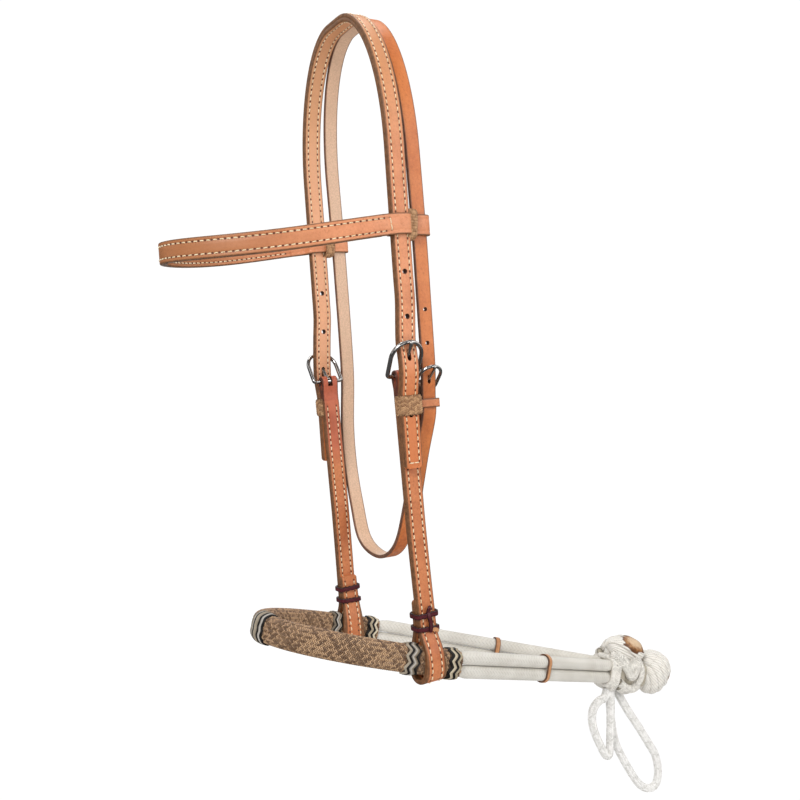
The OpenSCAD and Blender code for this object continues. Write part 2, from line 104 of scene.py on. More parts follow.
def dense_ends(points, radius=3.0, count=7):
    """adds stations close to both ends so that rounded corners come out smooth"""
    run = lengths(points)
    end = run[-1]
    near_end = radius * (1 - np.cos(np.linspace(0, math.pi / 2, count)))
    middle = run[(run > radius) & (run < end - radius)]
    stations = np.unique(np.round(np.concatenate([near_end, middle, end - near_end]), 4))
    return interpolate(points, run, stations)


def smoothed(values, reach):
    """running mean over reach neighbours each way"""
    window = 2 * reach + 1
    return np.convolve(np.pad(values, reach, mode="edge"), np.ones(window) / window,
                       mode="valid")


class Path:
    """a line with a frame at each point: across is the strap's width, normal its thickness"""
    def __init__(self, points, across, closed=False):
        self.points = np.asarray(points, float)
        self.closed = closed
        if closed:
            tangent = np.roll(self.points, -1, 0) - np.roll(self.points, 1, 0)
        else:
            tangent = np.gradient(self.points, axis=0)
        tangent = unit(tangent)
        self.across = unit(across - (across * tangent).sum(1, keepdims=True) * tangent)
        self.normal = np.cross(self.across, tangent)
        run = lengths(np.vstack([self.points, self.points[:1]]) if closed else self.points)
        self.length = run[-1]
        self.run = run[:len(self.points)]

    def at(self, stations):
        """point, across and normal at distances along the path"""
        run, fields = self.run, (self.points, self.across, self.normal)
        if self.closed:
            stations = np.asarray(stations, float) % self.length
            run = np.append(run, self.length)
            fields = [np.vstack([field, field[:1]]) for field in fields]
        point, across, normal = (interpolate(field, run, stations) for field in fields)
        return point, unit(across), unit(normal)

    def outward(self):
        """1 where the normals of a closed path point away from its middle, else -1"""
        away = ((self.points - self.points.mean(0)) * self.normal).sum()
        return 1.0 if away > 0 else -1.0


# ------------------------------------------------------------------ shapes
class Shape:
    """vertices, faces, UVs and point attributes of one object"""
    def __init__(self):
        self.count = 0
        self.points, self.faces, self.uvs, self.values = [], [], [], {}

    def add(self, points, faces, uv=None, **values):
        points = np.asarray(points, float).reshape(-1, 3)
        count = len(points)
        self.points.append(points)
        self.faces += [tuple(int(i) + self.count for i in face) for face in faces]
        self.uvs.append(np.zeros((count, 2)) if uv is None else np.reshape(uv, (-1, 2)))
        for key in {**self.values, **values}:
            parts = self.values.setdefault(key, [np.zeros(self.count)])
            parts.append(np.broadcast_to(np.ravel(values.get(key, 0.0)), (count,)))
        self.count += count


def sided(shape, far):
    """the shape itself on the near side, its mirror image on the far side"""
    if not far:
        return shape
    mirror = Shape()
    vars(mirror).update(vars(shape))
    mirror.points = [points * MIRROR for points in shape.points]
    mirror.faces = [tuple(reversed(face)) for face in shape.faces]
    return mirror


def grid_faces(rows, columns, closed=False):
    """quads of a tube of vertex rings, with end caps unless the rings close on themselves"""
    faces = []
    for i in range(rows if closed else rows - 1):
        row, after = i * columns, (i + 1) % rows * columns
        for j in range(columns):
            j2 = (j + 1) % columns
            faces.append((row + j, row + j2, after + j2, after + j))
    if not closed:
        faces.append(tuple(range(columns - 1, -1, -1)))
        faces.append(tuple((rows - 1) * columns + j for j in range(columns)))
    return faces


def strap_section(low, high, width, low_round, high_round, row=None):
    """closed strap outline of (normal, across) points with faces at low and high;
    row is the offset of the stitch grooves in the high face"""
    half = width / 2

    def corner(normal, across, radius, start, count):
        return [(normal + radius * math.cos(a), across + radius * math.sin(a))
                for a in np.radians(np.linspace(start, start + 90, count))]

    face = [(-1.2, 0), (1.2, 0)]
    if row:
        groove = ((-0.75, 0), (-0.4, 0.14), (0, 0.2), (0.4, 0.14), (0.75, 0))
        face += [(side * row + shift, depth) for side in (-1, 1) for shift, depth in groove]
    return np.array(
        corner(low + low_round, low_round - half, low_round, 180, 3)
        + corner(high - high_round, high_round - half, high_round, -90, 5)
        + [(high - depth, across) for across, depth in sorted(face)]
        + corner(high - high_round, half - high_round, high_round, 0, 5)
        + corner(low + low_round, half - low_round, low_round, 90, 3)
        + [(low, half * 0.5), (low, 0), (low, -half * 0.5)])


def sweep(shape, path, section, width=1.0, depth=1.0, **values):
    """section along path; width and depth scale it, and values are attributes, per station"""
    rows, columns = len(path.points), len(section)
    width, depth = (np.broadcast_to(scale, (rows,))[:, None] for scale in (width, depth))
    normal, across = section[:, 0] * depth, section[:, 1] * width
    points = (path.points[:, None] + path.normal[:, None] * normal[..., None]
              + path.across[:, None] * across[..., None])
    uv = np.stack(np.broadcast_arrays(path.run[:, None], across), -1)
    values = {key: np.repeat(v, columns) if np.ndim(v) else v for key, v in values.items()}
    shape.add(points, grid_faces(rows, columns, path.closed), uv, nn=normal, **values)


def end_taper(path, width, radius, start=True):
    """width scale that rounds the strap's corners at its ends"""
    half = width / 2
    taper = np.ones(len(path.points))
    for reach in ([path.run] if start else []) + [path.run[-1] - path.run]:
        inset = np.sqrt(np.maximum(0, radius ** 2 - (radius - reach) ** 2))
        taper = np.minimum(taper, np.where(reach < radius, (half - radius + inset) / half, 1))
    return taper


def tube(shape, path, radius, sides, **values):
    rows = len(path.points)
    turn = circle(sides)
    radius = np.broadcast_to(radius, (rows,))[:, None, None]
    around = (path.normal[:, None] * np.cos(turn)[:, None]
              + path.across[:, None] * np.sin(turn)[:, None])
    uv = np.stack(np.broadcast_arrays(path.run[:, None], turn), -1)
    shape.add(path.points[:, None] + around * radius, grid_faces(rows, sides), uv, **values)


def box(shape, low, high, place=lambda points: points):
    corners = vec(*[(x, y, z) for x in (low[0], high[0]) for y in (low[1], high[1])
                    for z in (low[2], high[2])])
    shape.add(place(corners), [(0, 1, 3, 2), (4, 6, 7, 5), (0, 4, 5, 1),
                               (2, 3, 7, 6), (0, 2, 6, 4), (1, 5, 7, 3)])


# ------------------------------------------------------------------ thread
STITCH_PITCH = 5.0


def stitches(shape, path, starts, offset, surface):
    """one thread bump per start, dipping into its holes at both ends; a negative surface
    puts the bumps on the back face"""
    share = np.array([0, 0.07, 0.2, 0.4, 0.6, 0.8, 0.93, 1.0])
    height = np.array([-0.95, -0.35, 0.12, 0.28, 0.28, 0.12, -0.35, -0.95])
    radius = 0.40 * np.array([0.75, 1, 1.05, 1.0, 1.0, 1.05, 1, 0.75])
    sides, gap, length, slant, flatten = 6, 0.85, 3.3, 0.3, 1.12
    surface = np.broadcast_to(surface, starts.shape)[:, None]
    run = starts[:, None] + gap + share * length
    point, across, normal = path.at(run)
    sideways = offset + slant * (share - 0.5) * np.sign(offset)
    centre = (point + normal * (surface + np.sign(surface) * height)[..., None]
              + across * sideways[:, None])
    turn = circle(sides)
    around = (normal[:, :, None] * np.cos(turn)[:, None]
              + across[:, :, None] * np.sin(turn)[:, None] * flatten)
    bump = grid_faces(len(share), sides)
    faces = [tuple(i + k * len(share) * sides for i in face)
             for k in range(len(starts)) for face in bump]
    uv = np.stack(np.broadcast_arrays(run[:, :, None], turn), -1)
    shape.add(centre[:, :, None] + around * radius[:, None, None], faces, uv)


def stitch_rows(shape, row, *faces):
    """two rows of stitches on each (path, starts, surface) face"""
    for side in (-1, 1):
        for path, starts, surface in faces:
            stitches(shape, path, starts, side * row, surface)


def cross_stitches(shape, path, stations, inner, outer, surface, faces):
    """a pair of stitches straight across the strap at each station"""
    share = np.array([0, 0.08, 0.25, 0.5, 0.75, 0.92, 1.0])[:, None]
    height = np.array([-0.9, -0.2, 0.15, 0.28, 0.15, -0.2, -0.9])[:, None]
    for station in stations:
        point, across, normal = path.at(station)
        for start, end in ((-outer, -inner), (inner, outer)):
            for face in faces:
                up = normal * face
                line = (point + across * start + up * surface
                        + across * (end - start) * share + up * height)
                tube(shape, Path(line, up), 0.43, 6)


# ------------------------------------------------------------------ braids
def stadium_perimeter(thickness, height):
    return 2 * (height - thickness) + math.pi * thickness


def stadium(share, thickness, height):
    """(normal, across) point and outward direction on a rounded bar, by perimeter share"""
    radius, flat = thickness / 2, height - thickness
    bend = math.pi * radius
    run = np.asarray(share) % 1.0 * stadium_perimeter(thickness, height)
    parts = [run < bend, run < bend + flat, run < 2 * bend + flat]
    turn = np.select(parts, [run / radius, math.pi, (run - flat) / radius], 0)
    centre = np.select(parts, [flat / 2, flat / 2 - (run - bend), -flat / 2],
                       run - 2 * bend - 1.5 * flat)
    out_n, out_w = np.cos(turn), np.sin(turn)
    return radius * out_n, centre + radius * out_w, out_n, out_w


def stadium_section(thickness, height, count=40):
    return np.stack(stadium((np.arange(count) + 0.5) / count, thickness, height)[:2], -1)


def bar_surface(path, thickness, height):
    """surface(share, run, lift) on a rounded bar"""
    def surface(share, run, lift):
        point, across, normal = path.at(run)
        n, w, out_n, out_w = stadium(share, thickness, height)
        return (point + normal * (n + lift * out_n)[..., None]
                + across * (w + lift * out_w)[..., None])
    return surface


def cord_surface(path, radius):
    """surface(share, run, lift) on a round cord"""
    def surface(share, run, lift):
        point, across, normal = path.at(run)
        turn = 2 * math.pi * share
        return (point + normal * (np.cos(turn) * (radius + lift))[..., None]
                + across * (np.sin(turn) * (radius + lift))[..., None])
    return surface


def weave(shape, surface, length, strands, lay, width, thickness, rise, steps=2, hem=0.0):
    """two families of flat strands that pass over and under each other; lay is the length
    of a full turn, steps the stations per crossing, hem the depth of turned-in edges"""
    # columns: across and height, as shares of the strand's width and thickness
    section = np.array([(-0.5, 0.0), (-0.36, 0.62), (-0.13, 1.0), (0.13, 1.0),
                        (0.36, 0.62), (0.5, 0.0), (0.0, -0.35)])
    rows = max(4, int(length / (lay / (2 * strands)) * steps))
    run = np.linspace(0, length, rows)
    faces = grid_faces(rows, len(section))
    for lean in (1, -1):
        for i in range(strands):
            share = i / strands + lean * run / lay
            phase = 2 * i + lean * 2 * strands * run / lay
            wave = lean * np.clip(1.4 * np.sin(math.pi / 2 * (phase + 0.5)), -1, 1)
            lift = rise * wave
            if hem:
                edge = np.minimum(run, length - run)
                lift = lift - np.clip(1 - edge / hem, 0, 1) ** 1.6
            centre = surface(share, run, lift)
            up = unit(surface(share, run, lift + 0.1) - centre)
            side = unit(np.cross(up, unit(np.gradient(centre, axis=0))))
            points = (centre[:, None] + side[:, None] * (section[:, 0, None] * width)
                      + up[:, None] * (section[:, 1, None] * thickness))
            uv = np.stack(np.broadcast_arrays(lengths(centre)[:, None],
                                              section[:, 0] * width), -1)
            # hi, how high a strand rides, drives the painted shade in the strand materials
            shape.add(points, faces, uv, sid=rng.random(),
                      hi=np.repeat(0.5 + 0.5 * wave, len(section)))


def woven_band(outline, axis, width, strands, strand_width, thickness, rise, base):
    """core and weave of a closed band of the given width round an outline"""
    path = Path(outline, axis, closed=True)
    out = path.outward()
    core, woven = Shape(), Shape()
    sweep(core, path, strap_section(0, base, width - 0.8, 0.2, 0.3) * vec(out, 1))

    def surface(share, run, lift):
        point, across, normal = path.at(share % 1.0 * path.length)
        return (point + across * (run - width / 2)[..., None]
                + normal * (out * (lift + base + 0.15))[..., None])

    weave(woven, surface, width, strands, width * 2.2, strand_width, thickness, rise,
          steps=4, hem=1.6)
    return core, woven


def braided_cord(core, braid, path, core_radius, core_sides, radius, **strands):
    tube(core, path, core_radius, core_sides)
    weave(braid, cord_surface(path, radius), path.length, **strands)


# ------------------------------------------------------------------ objects
def link(name, data):
    obj = bpy.data.objects.new(name, data)
    bpy.context.scene.collection.objects.link(obj)
    return obj


def new_mesh(name, shape):
    mesh = bpy.data.meshes.new(name)
    mesh.from_pydata((np.vstack(shape.points) * 0.001).tolist(), [], shape.faces)
    return mesh


def point_normals_out(mesh):
    work = bmesh.new()
    work.from_mesh(mesh)
    bmesh.ops.recalc_face_normals(work, faces=work.faces)
    work.to_mesh(mesh)
    work.free()


def cut_away(obj, shape):
    """subtracts the shape; the cut faces take the dark hole material, painted shade inside the
    holes
    """
    mesh = new_mesh("cutter", shape)
    mesh.update()
    point_normals_out(mesh)
    mesh.materials.append(hole_shade_material)
    cutter = link("cutter", mesh)
    cut = obj.modifiers.new("cut", "BOOLEAN")
    cut.operation = "DIFFERENCE"
    cut.object = cutter
    cut.solver = "EXACT"
    cut.use_self = False
    cut.material_mode = "TRANSFER"
    graph = bpy.context.evaluated_depsgraph_get()
    graph.update()
    result = bpy.data.meshes.new_from_object(obj.evaluated_get(graph),
                                             preserve_all_data_layers=True, depsgraph=graph)
    obj.modifiers.clear()
    obj.data = result
    bpy.data.objects.remove(cutter)


def make(name, shape, material, body, replaced=(), smooth=False, cut=None):
    """builds the object; body is the body it rides, or a (from, to, start, end) blend, which is
    not used: such an object only has its transform baked
    """
    mesh = new_mesh(name, shape)
    corners = np.zeros(len(mesh.loops), np.int32)
    mesh.loops.foreach_get("vertex_index", corners)
    uvs = np.vstack(shape.uvs)[corners].astype(np.float32)
    mesh.uv_layers.new(name="UVMap").data.foreach_set("uv", uvs.ravel())
    for key, parts in shape.values.items():
        attribute = mesh.attributes.new(key, "FLOAT", "POINT")
        attribute.data.foreach_set("value", np.concatenate(parts).astype(np.float32))
    obj = link(name, mesh)
    mesh.materials.append(material)
    mesh.validate()
    mesh.update()
    point_normals_out(mesh)
    if cut is not None:
        cut_away(obj, cut)
    obj.data.shade_smooth()
    if not smooth:
        obj.data.set_sharp_from_angle(angle=math.radians(38))
    if replaced:
        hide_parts(*replaced)
    if isinstance(body, str):
        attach(obj, body)
    else:
        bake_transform(obj)


# ------------------------------------------------------------------ shader helpers
def srgb(colour):
    """linear RGBA from 0-255 sRGB"""
    shares = [c / 255 for c in colour]
    return tuple(c / 12.92 if c <= 0.04045 else ((c + 0.055) / 1.055) ** 2.4
                 for c in shares) + (1.0,)


def scaled(colour, factor):
    return tuple(min(1, c * factor) for c in colour[:3]) + (1,)


def feed(tree, value, socket):
    """links a Value or a socket, or sets a constant"""
    if isinstance(value, Value):
        value = value.socket
    if isinstance(value, bpy.types.NodeSocket):
        tree.links.new(value, socket)
    else:
        socket.default_value = value


class Value:
    """a number in a node tree, with arithmetic that adds math nodes"""
    def __init__(self, tree, socket):
        self.tree = tree
        self.socket = socket

    def op(self, kind, *others):
        node = self.tree.nodes.new("ShaderNodeMath")
        node.operation = kind
        for value, socket in zip((self, *others), node.inputs):
            feed(self.tree, value, socket)
        return Value(self.tree, node.outputs[0])

    def __add__(self, other):
        return self.op("ADD", other)

    def __sub__(self, other):
        return self.op("SUBTRACT", other)

    def __rsub__(self, other):
        return (self * -1) + other

    def __mul__(self, other):
        return self.op("MULTIPLY", other)

    def __truediv__(self, other):
        return self.op("DIVIDE", other)

    def abs(self):
        return self.op("ABSOLUTE")

    def ramp(self, start, stop):
        """smooth step from 0 at start to 1 at stop"""
        node = self.tree.nodes.new("ShaderNodeMapRange")
        node.interpolation_type = "SMOOTHSTEP"
        self.tree.links.new(self.socket, node.inputs["Value"])
        node.inputs["From Min"].default_value = start
        node.inputs["From Max"].default_value = stop
        return Value(self.tree, node.outputs["Result"])


class Surface:
    """a material under construction; u and v are millimetres along and across a piece"""
    def __init__(self, name, colour=None):
        self.material = bpy.data.materials.new(name)
        self.material.use_nodes = True
        self.tree = self.material.node_tree
        self.tree.nodes.clear()
        self.colour = colour
        output = self.tree.nodes.new("ShaderNodeOutputMaterial")
        self.shader = self.tree.nodes.new("ShaderNodeBsdfPrincipled")
        self.tree.links.new(self.shader.outputs[0], output.inputs[0])
        self.object = self.tree.nodes.new("ShaderNodeTexCoord").outputs["Object"]
        uv = self.tree.nodes.new("ShaderNodeUVMap")
        uv.uv_map = "UVMap"
        self.u, self.v, _ = self.separate(uv.outputs[0])

    def node(self, kind, output, **inputs):
        node = self.tree.nodes.new(kind)
        for key, value in inputs.items():
            feed(self.tree, value, node.inputs[key])
        return Value(self.tree, node.outputs[output])

    def separate(self, socket):
        node = self.tree.nodes.new("ShaderNodeSeparateXYZ")
        self.tree.links.new(socket, node.inputs[0])
        return [Value(self.tree, output) for output in node.outputs]

    def combine(self, x, y, z):
        return self.node("ShaderNodeCombineXYZ", 0, X=x, Y=y, Z=z)

    def attribute(self, name):
        node = self.tree.nodes.new("ShaderNodeAttribute")
        node.attribute_name = name
        return Value(self.tree, node.outputs["Fac"])

    def noise(self, scale, detail=3, rough=0.55, at=None):
        return self.node("ShaderNodeTexNoise", "Fac", Vector=at or self.object,
                         Scale=scale, Detail=detail, Roughness=rough)

    def cells(self, scale):
        return self.node("ShaderNodeTexVoronoi", "Distance", Vector=self.object, Scale=scale)

    def mix(self, factor, first, second):
        node = self.tree.nodes.new("ShaderNodeMix")
        node.data_type = "RGBA"
        node.clamp_factor = True
        for index, value in ((0, factor), (6, first), (7, second)):
            feed(self.tree, value, node.inputs[index])
        return node.outputs[2]

    def tint(self, factor, colour):
        """mixes another colour over what is there"""
        self.colour = self.mix(factor, self.colour, colour)

    def finish(self, roughness, height, strength, depth=0.0002, **inputs):
        """sets the shader; underscores in input names stand for spaces, depth is in metres"""
        bump = self.tree.nodes.new("ShaderNodeBump")
        bump.inputs["Strength"].default_value = strength
        bump.inputs["Distance"].default_value = depth
        feed(self.tree, height, bump.inputs["Height"])
        inputs.update(Base_Color=self.colour, Roughness=roughness, Normal=bump.outputs[0])
        for key, value in inputs.items():
            feed(self.tree, value, self.shader.inputs[key.replace("_", " ")])
        return self.material


def soft(weight, radius):
    return dict(Subsurface_Weight=weight, Subsurface_Radius=radius, Subsurface_Scale=1.0)


# ------------------------------------------------------------------ material kinds
def leather(name, face, dark, edge, half_width, row=None, back=None, rough=0.42, shade=0.0,
            russet=False, zones=False):
    """row adds stitch holes, back a paler nap, the shade setting adds painted shade darkening
    towards the front, russet follows an attribute, zones vary the colour by place on the
    headstall"""
    face, dark, edge = map(srgb, (face, dark, edge))
    m = Surface(name, face)
    from_middle = m.v.abs()
    blotch, mottle = m.noise(16, detail=4, rough=0.6), m.noise(120, detail=4, rough=0.6)
    fibre = m.noise(1.0, rough=0.6, at=m.combine(m.u * 0.05, m.v * 0.9, 0.3))
    m.tint(blotch.ramp(0.35, 0.75) * 0.85, dark)
    m.tint(m.noise(42, detail=4, rough=0.65).ramp(0.5, 0.8) * 0.45, scaled(dark, 0.72))
    m.tint(mottle.ramp(0.45, 0.85) * 0.35, dark)
    m.tint(fibre.ramp(0.5, 0.8) * 0.3, dark)
    grain = m.noise(480, rough=0.75)
    m.tint(grain.ramp(0.5, 0.72) * 0.42, scaled(dark, 0.72))
    m.tint(grain.ramp(0.46, 0.3) * 0.35, scaled(face, 1.16))
    if back is not None:
        back = srgb(back)
        nap = m.mix(m.noise(700, rough=0.7).ramp(0.35, 0.7), back, scaled(back, 0.74))
        nap = m.mix(blotch.ramp(0.4, 0.7) * 0.5, nap, scaled(back, 0.8))
        m.tint(m.attribute("nn").ramp(0.25, -0.25), nap)
    if russet:
        red = m.mix(blotch.ramp(0.4, 0.7), srgb((190, 100, 70)), srgb((160, 76, 50)))
        m.tint(m.attribute("rus") * 0.85, red)
    if zones:
        # ramps are in metres: the billets, the far billet, and the top of the crown
        x, _, z = m.separate(m.object)
        m.tint(z.ramp(-0.255, -0.31) * 0.75, srgb((194, 106, 50)))
        m.tint(x.ramp(0.0, -0.06) * z.ramp(-0.31, -0.26) * 0.5, srgb((226, 176, 138)))
        m.tint(z.ramp(-0.15, -0.02) * 0.55, srgb((190, 140, 96)))
    # painted shade: darker towards the front, where the band turns away from the light
    if shade:
        y = m.separate(m.object)[1]
        m.tint(y.ramp(-0.035, -0.15) * shade, srgb((158, 100, 58)))
    rim = from_middle.ramp(half_width - 1.5, half_width - 0.35)
    m.tint(rim * 0.95, m.mix(m.noise(300).ramp(0.35, 0.7), edge, scaled(edge, 0.55)))
    height = m.cells(1500) * 0.25 + m.noise(900) * 0.35 + m.noise(60) * 0.5
    if row:
        stitched, off_row = m.attribute("st"), from_middle - row
        groove = off_row.abs().ramp(0.85, 0.15) * stitched
        m.tint(groove * 0.3, edge)
        share = (m.u / STITCH_PITCH).op("FRACT") - 0.5
        off_hole = (0.5 - share.abs()) * STITCH_PITCH
        distance = (off_hole * off_hole + off_row * off_row).op("SQRT")
        # painted shade: each stitch hole is painted dark brown, as the shade inside it, and also
        # sunk into the bump
        hole = distance.ramp(0.98, 0.60) * stitched
        m.tint(hole * 0.95, srgb((84, 42, 26)))
        height = height - hole * 2.5
        height = height - groove * 0.8
    return m.finish(mottle * 0.25 + (rough - 0.1), height, 0.35, 0.00025,
                    Specular_IOR_Level=0.42, Coat_Weight=0.08, Coat_Roughness=0.35)


def polished_metal(name, colour, rough):
    m = Surface(name, colour)
    fine, broad = m.noise(500, detail=4, rough=0.7), m.noise(60)
    m.tint(broad.ramp(0.4, 0.75) * 0.5, scaled(colour, 0.72))
    return m.finish(fine * 0.10 + rough - 0.03, fine * 0.5 + broad, 0.06, Metallic=1.0)


def strand(name, light, deep, gap, rough=0.5, fibre=3.0, half_width=6.0, specular=0.35,
           lift=0.0):
    """fibrous strands, each its own colour; lift sets painted shade where they pass under"""
    light, deep, gap = map(srgb, (light, deep, gap))
    m = Surface(name)
    strand_id = m.attribute("sid")
    streak = m.noise(1.0, rough=0.7, at=m.combine(m.u * 0.25, m.v * fibre, strand_id * 40))
    blend = strand_id * 0.75 + streak * 0.3 + m.noise(55) * 0.15
    m.colour = m.mix(blend.ramp(0.2, 1.0), light, deep)
    # painted shade where a strand passes under its neighbour
    if lift:
        m.tint(m.attribute("hi").ramp(0.75, 0.05) * lift, gap)
    # painted shade: the strand's edges darken to the gap colour, as shade between strands; the
    # streaks below are the fibres' own darker colour
    m.tint(m.v.abs().ramp(half_width * 0.55, half_width * 1.0) * 0.65, gap)
    m.tint(streak.ramp(0.55, 0.9) * 0.35, gap)
    return m.finish(streak * 0.2 + (rough - 0.1), streak * 0.8 + m.noise(1200, detail=2) * 0.4,
                    0.4, Specular_IOR_Level=specular)


def fibrous(name, light, deep, rough, scale, sheen=0.0, scatter=0.0, twist=None, hollow_shade=0.0):
    """thread and rope; twist is the (u, v) frequency of its plies, whose troughs take painted
    shade, and the low parts of a braid can take painted shade
    """
    light, deep = srgb(light), srgb(deep)
    m = Surface(name)
    fine = height = m.noise(scale, rough=0.7)
    m.colour = m.mix(m.noise(45).ramp(0.35, 0.7), light, deep)
    m.tint(fine.ramp(0.5, 0.85) * 0.3, deep)
    # painted shade on the low parts of the braid, by its relief
    if hollow_shade:
        m.tint(m.attribute("hi").ramp(0.85, 0.15) * hollow_shade, srgb((128, 120, 106)))
    if twist:
        wave = (m.u * twist[0] + m.v * twist[1]).op("SINE")
        height = fine * 0.5 + wave * 0.5
        # painted shade in the troughs between the plies
        m.tint(wave.ramp(-0.2, -1.0) * 0.28, scaled(deep, 0.62))
    scattering = soft(scatter, (0.004, 0.0035, 0.003)) if scatter else {}
    return m.finish(fine * 0.2 + rough - 0.1, height, 0.35, Sheen_Weight=sheen, **scattering)


def knob_material(name, melted, melted_dark):
    """yarns that run under a melted cap"""
    m = Surface(name)
    melt, yarn = m.attribute("melt"), m.attribute("yarn")
    patch, fine = m.noise(260, detail=4, rough=0.7), m.noise(1700, detail=2)
    # painted shade in the grooves between the yarns
    rope = m.mix(yarn.ramp(0.6, 0.1) * 0.85, srgb((226, 222, 214)), srgb((134, 122, 108)))
    rope = m.mix(patch.ramp(0.55, 0.8) * 0.3, rope, srgb((188, 170, 154)))
    # painted shade in the deep grooves
    rope = m.mix(m.attribute("deep").ramp(0.6, 0.1) * 0.6, rope, srgb((120, 104, 88)))
    m.colour = m.mix(patch.ramp(0.35, 0.7), srgb(melted), srgb(melted_dark))
    m.tint(m.cells(190).ramp(0.16, 0.06), srgb((92, 58, 34)))
    # painted shade at the rim of the melted cap
    rim = (m.attribute("cp") + patch * 0.6 - 0.3).ramp(0.55, 0.1) * 0.9
    m.tint(rim, srgb((88, 52, 24)))
    # painted light in the middle of the cap's dome
    middle = (m.attribute("cp") + patch * 0.9 - 0.45).ramp(0.5, 0.85) * 0.75
    m.tint(middle, srgb((216, 190, 156)))
    m.colour = m.mix((melt + patch * 0.5 - 0.25).ramp(0.25, 0.6), rope, m.colour)
    return m.finish(fine * 0.2 + 0.3, fine * 0.5 + patch * 0.6, 0.4, 0.0003,
                    **soft(0.12, (0.003, 0.0025, 0.002)))


# ------------------------------------------------------------------ materials
STRAP_WIDTH, STRAP_ROW = 15, 4.35      # crown and cheek straps, and their stitch rows
BROW_WIDTH, BROW_ROW = 16, 4.75
THROAT_WIDTH = 12.5
EDGE = (122, 82, 50)

crown_material = leather("harness_leather", (214, 141, 98), (186, 108, 66), EDGE,
                         STRAP_WIDTH / 2, row=STRAP_ROW, zones=True)
# the browband takes painted shade towards the front
brow_material = leather("browband_leather", (217, 145, 103), (190, 112, 70), EDGE,
                        BROW_WIDTH / 2, row=BROW_ROW, shade=0.85)
cheek_material = leather("cheek_leather", (201, 125, 78), (170, 92, 50), EDGE,
                         STRAP_WIDTH / 2, row=STRAP_ROW, russet=True)
chape_material = leather("russet_leather", (190, 98, 68), (158, 72, 46), (92, 50, 34),
                         STRAP_WIDTH / 2)
throat_material = leather("throat_leather", (204, 120, 62), (176, 90, 40), (112, 76, 58),
                          THROAT_WIDTH / 2, back=(216, 178, 148), rough=0.36)
keeper_material = leather("keeper_leather", (206, 132, 86), (170, 98, 58), (110, 70, 42), 3.6)
tan_material = leather("tan_skirting", (206, 150, 104), (164, 108, 66), (92, 58, 36), 2.7)
lace_material = leather("burgundy_lace", (88, 24, 34), (58, 12, 20), (40, 10, 16), 2.2,
                        rough=0.34)
# the troughs of the thread's twist take painted shade
thread_material = fibrous("waxed_thread", (240, 224, 190), (214, 190, 150), rough=0.5,
                          scale=2600, sheen=0.1, twist=(5.2, 1.0))
nickel_material = polished_metal("nickel", (0.50, 0.485, 0.47, 1), rough=0.10)
# painted shade: the walls of cut holes are painted darker than the cut edges, as the shade inside
# the holes
hole_shade_material = leather("hole_shade", (96, 50, 28), (66, 32, 18), (50, 24, 14), 40)
# the third colour of each strand material below is its painted shade under and between the
# strands
rawhide_material = strand("woven_rawhide", (186, 144, 104), (136, 98, 66), (52, 34, 20),
                          fibre=2.0, half_width=1.1, lift=0.75)
braid_material = strand("noseband_braid", (186, 150, 114), (104, 76, 54), (20, 13, 8),
                        rough=0.38, half_width=0.66, specular=0.55, lift=0.97)
ring_materials = {name: strand("ring_" + name, *colours, rough=rough)
                  for name, rough, *colours in (
    ("cream", 0.55, (206, 194, 170), (160, 146, 122), (70, 62, 50)),
    ("grey", 0.5, (196, 190, 182), (140, 132, 122), (50, 46, 42)),
    ("dun", 0.5, (166, 154, 136), (112, 100, 84), (40, 34, 28)),
    ("black", 0.5, (34, 30, 28), (18, 16, 15), (6, 5, 5)))}
core_material = fibrous("braid_core", (80, 62, 44), (50, 38, 26), rough=0.8, scale=700)
# the rope's low parts take painted shade
rope_material = fibrous("white_rope", (211, 207, 198), (199, 194, 184), rough=0.42,
                        scale=1300, sheen=0.12, scatter=0.08, hollow_shade=0.5)
cord_material = strand("white_cord", (242, 240, 237), (214, 212, 207), (78, 76, 72),
                       rough=0.40, half_width=0.9, specular=0.5, lift=0.75)


# ------------------------------------------------------------------ frames of reference
def turned(points, origin, degrees):
    """points turned about X, then moved to origin"""
    x, y, z = np.moveaxis(np.asarray(points, float), -1, 0)
    cos, sin = math.cos(math.radians(degrees)), math.sin(math.radians(degrees))
    return origin + np.stack([x, y * cos - z * sin, y * sin + z * cos], -1)


BILLET_Y = -2.5
CHEEK_BAR = vec(66.5, BILLET_Y, -286)     # middle of the near buckle's bar
THROAT_BAR = vec(62, 19.2, -296)


def cheek(points):
    """near cheek frame: origin at the buckle bar, x outward, z up the strap"""
    return turned(points, CHEEK_BAR, 1.42)


def throat(points):
    return THROAT_BAR + points


def nose(points):
    """noseband frame: y runs back and down towards the heel, z is the noseband's height"""
    return turned(points, vec(0, 3.02, -508.7), -17.3)


def direction(frame, axis):
    return frame(axis) - frame(vec(0, 0, 0))


def cheek_xz(points):
    return cheek(np.insert(points, 1, 0.0, axis=1))


CHEEK_Y, CHEEK_Z = direction(cheek, Y_AXIS), direction(cheek, Z_AXIS)
NOSE_Z = direction(nose, Z_AXIS)

# ------------------------------------------------------------------ buckles
# reach is the frame from bar to bow, rest the pin's height over that plane at the bow
CHEEK_BUCKLE = SimpleNamespace(
    place=cheek, width=30, wire=3.2, reach=29.3, lean=math.radians(31.5), rest=3.05,
    pin_radius=1.4, pin_length=31.2, pin_bend=29.5, eye=3.4, eye_width=3.4)
THROAT_BUCKLE = SimpleNamespace(
    place=throat, width=22, wire=2.6, reach=22, lean=math.radians(45), rest=2.45,
    pin_radius=1.1, pin_length=24.3, pin_bend=22.4, eye=2.6, eye_width=2.8)


def pin_angle(buckle):
    return buckle.lean + math.atan2(buckle.rest, buckle.reach)


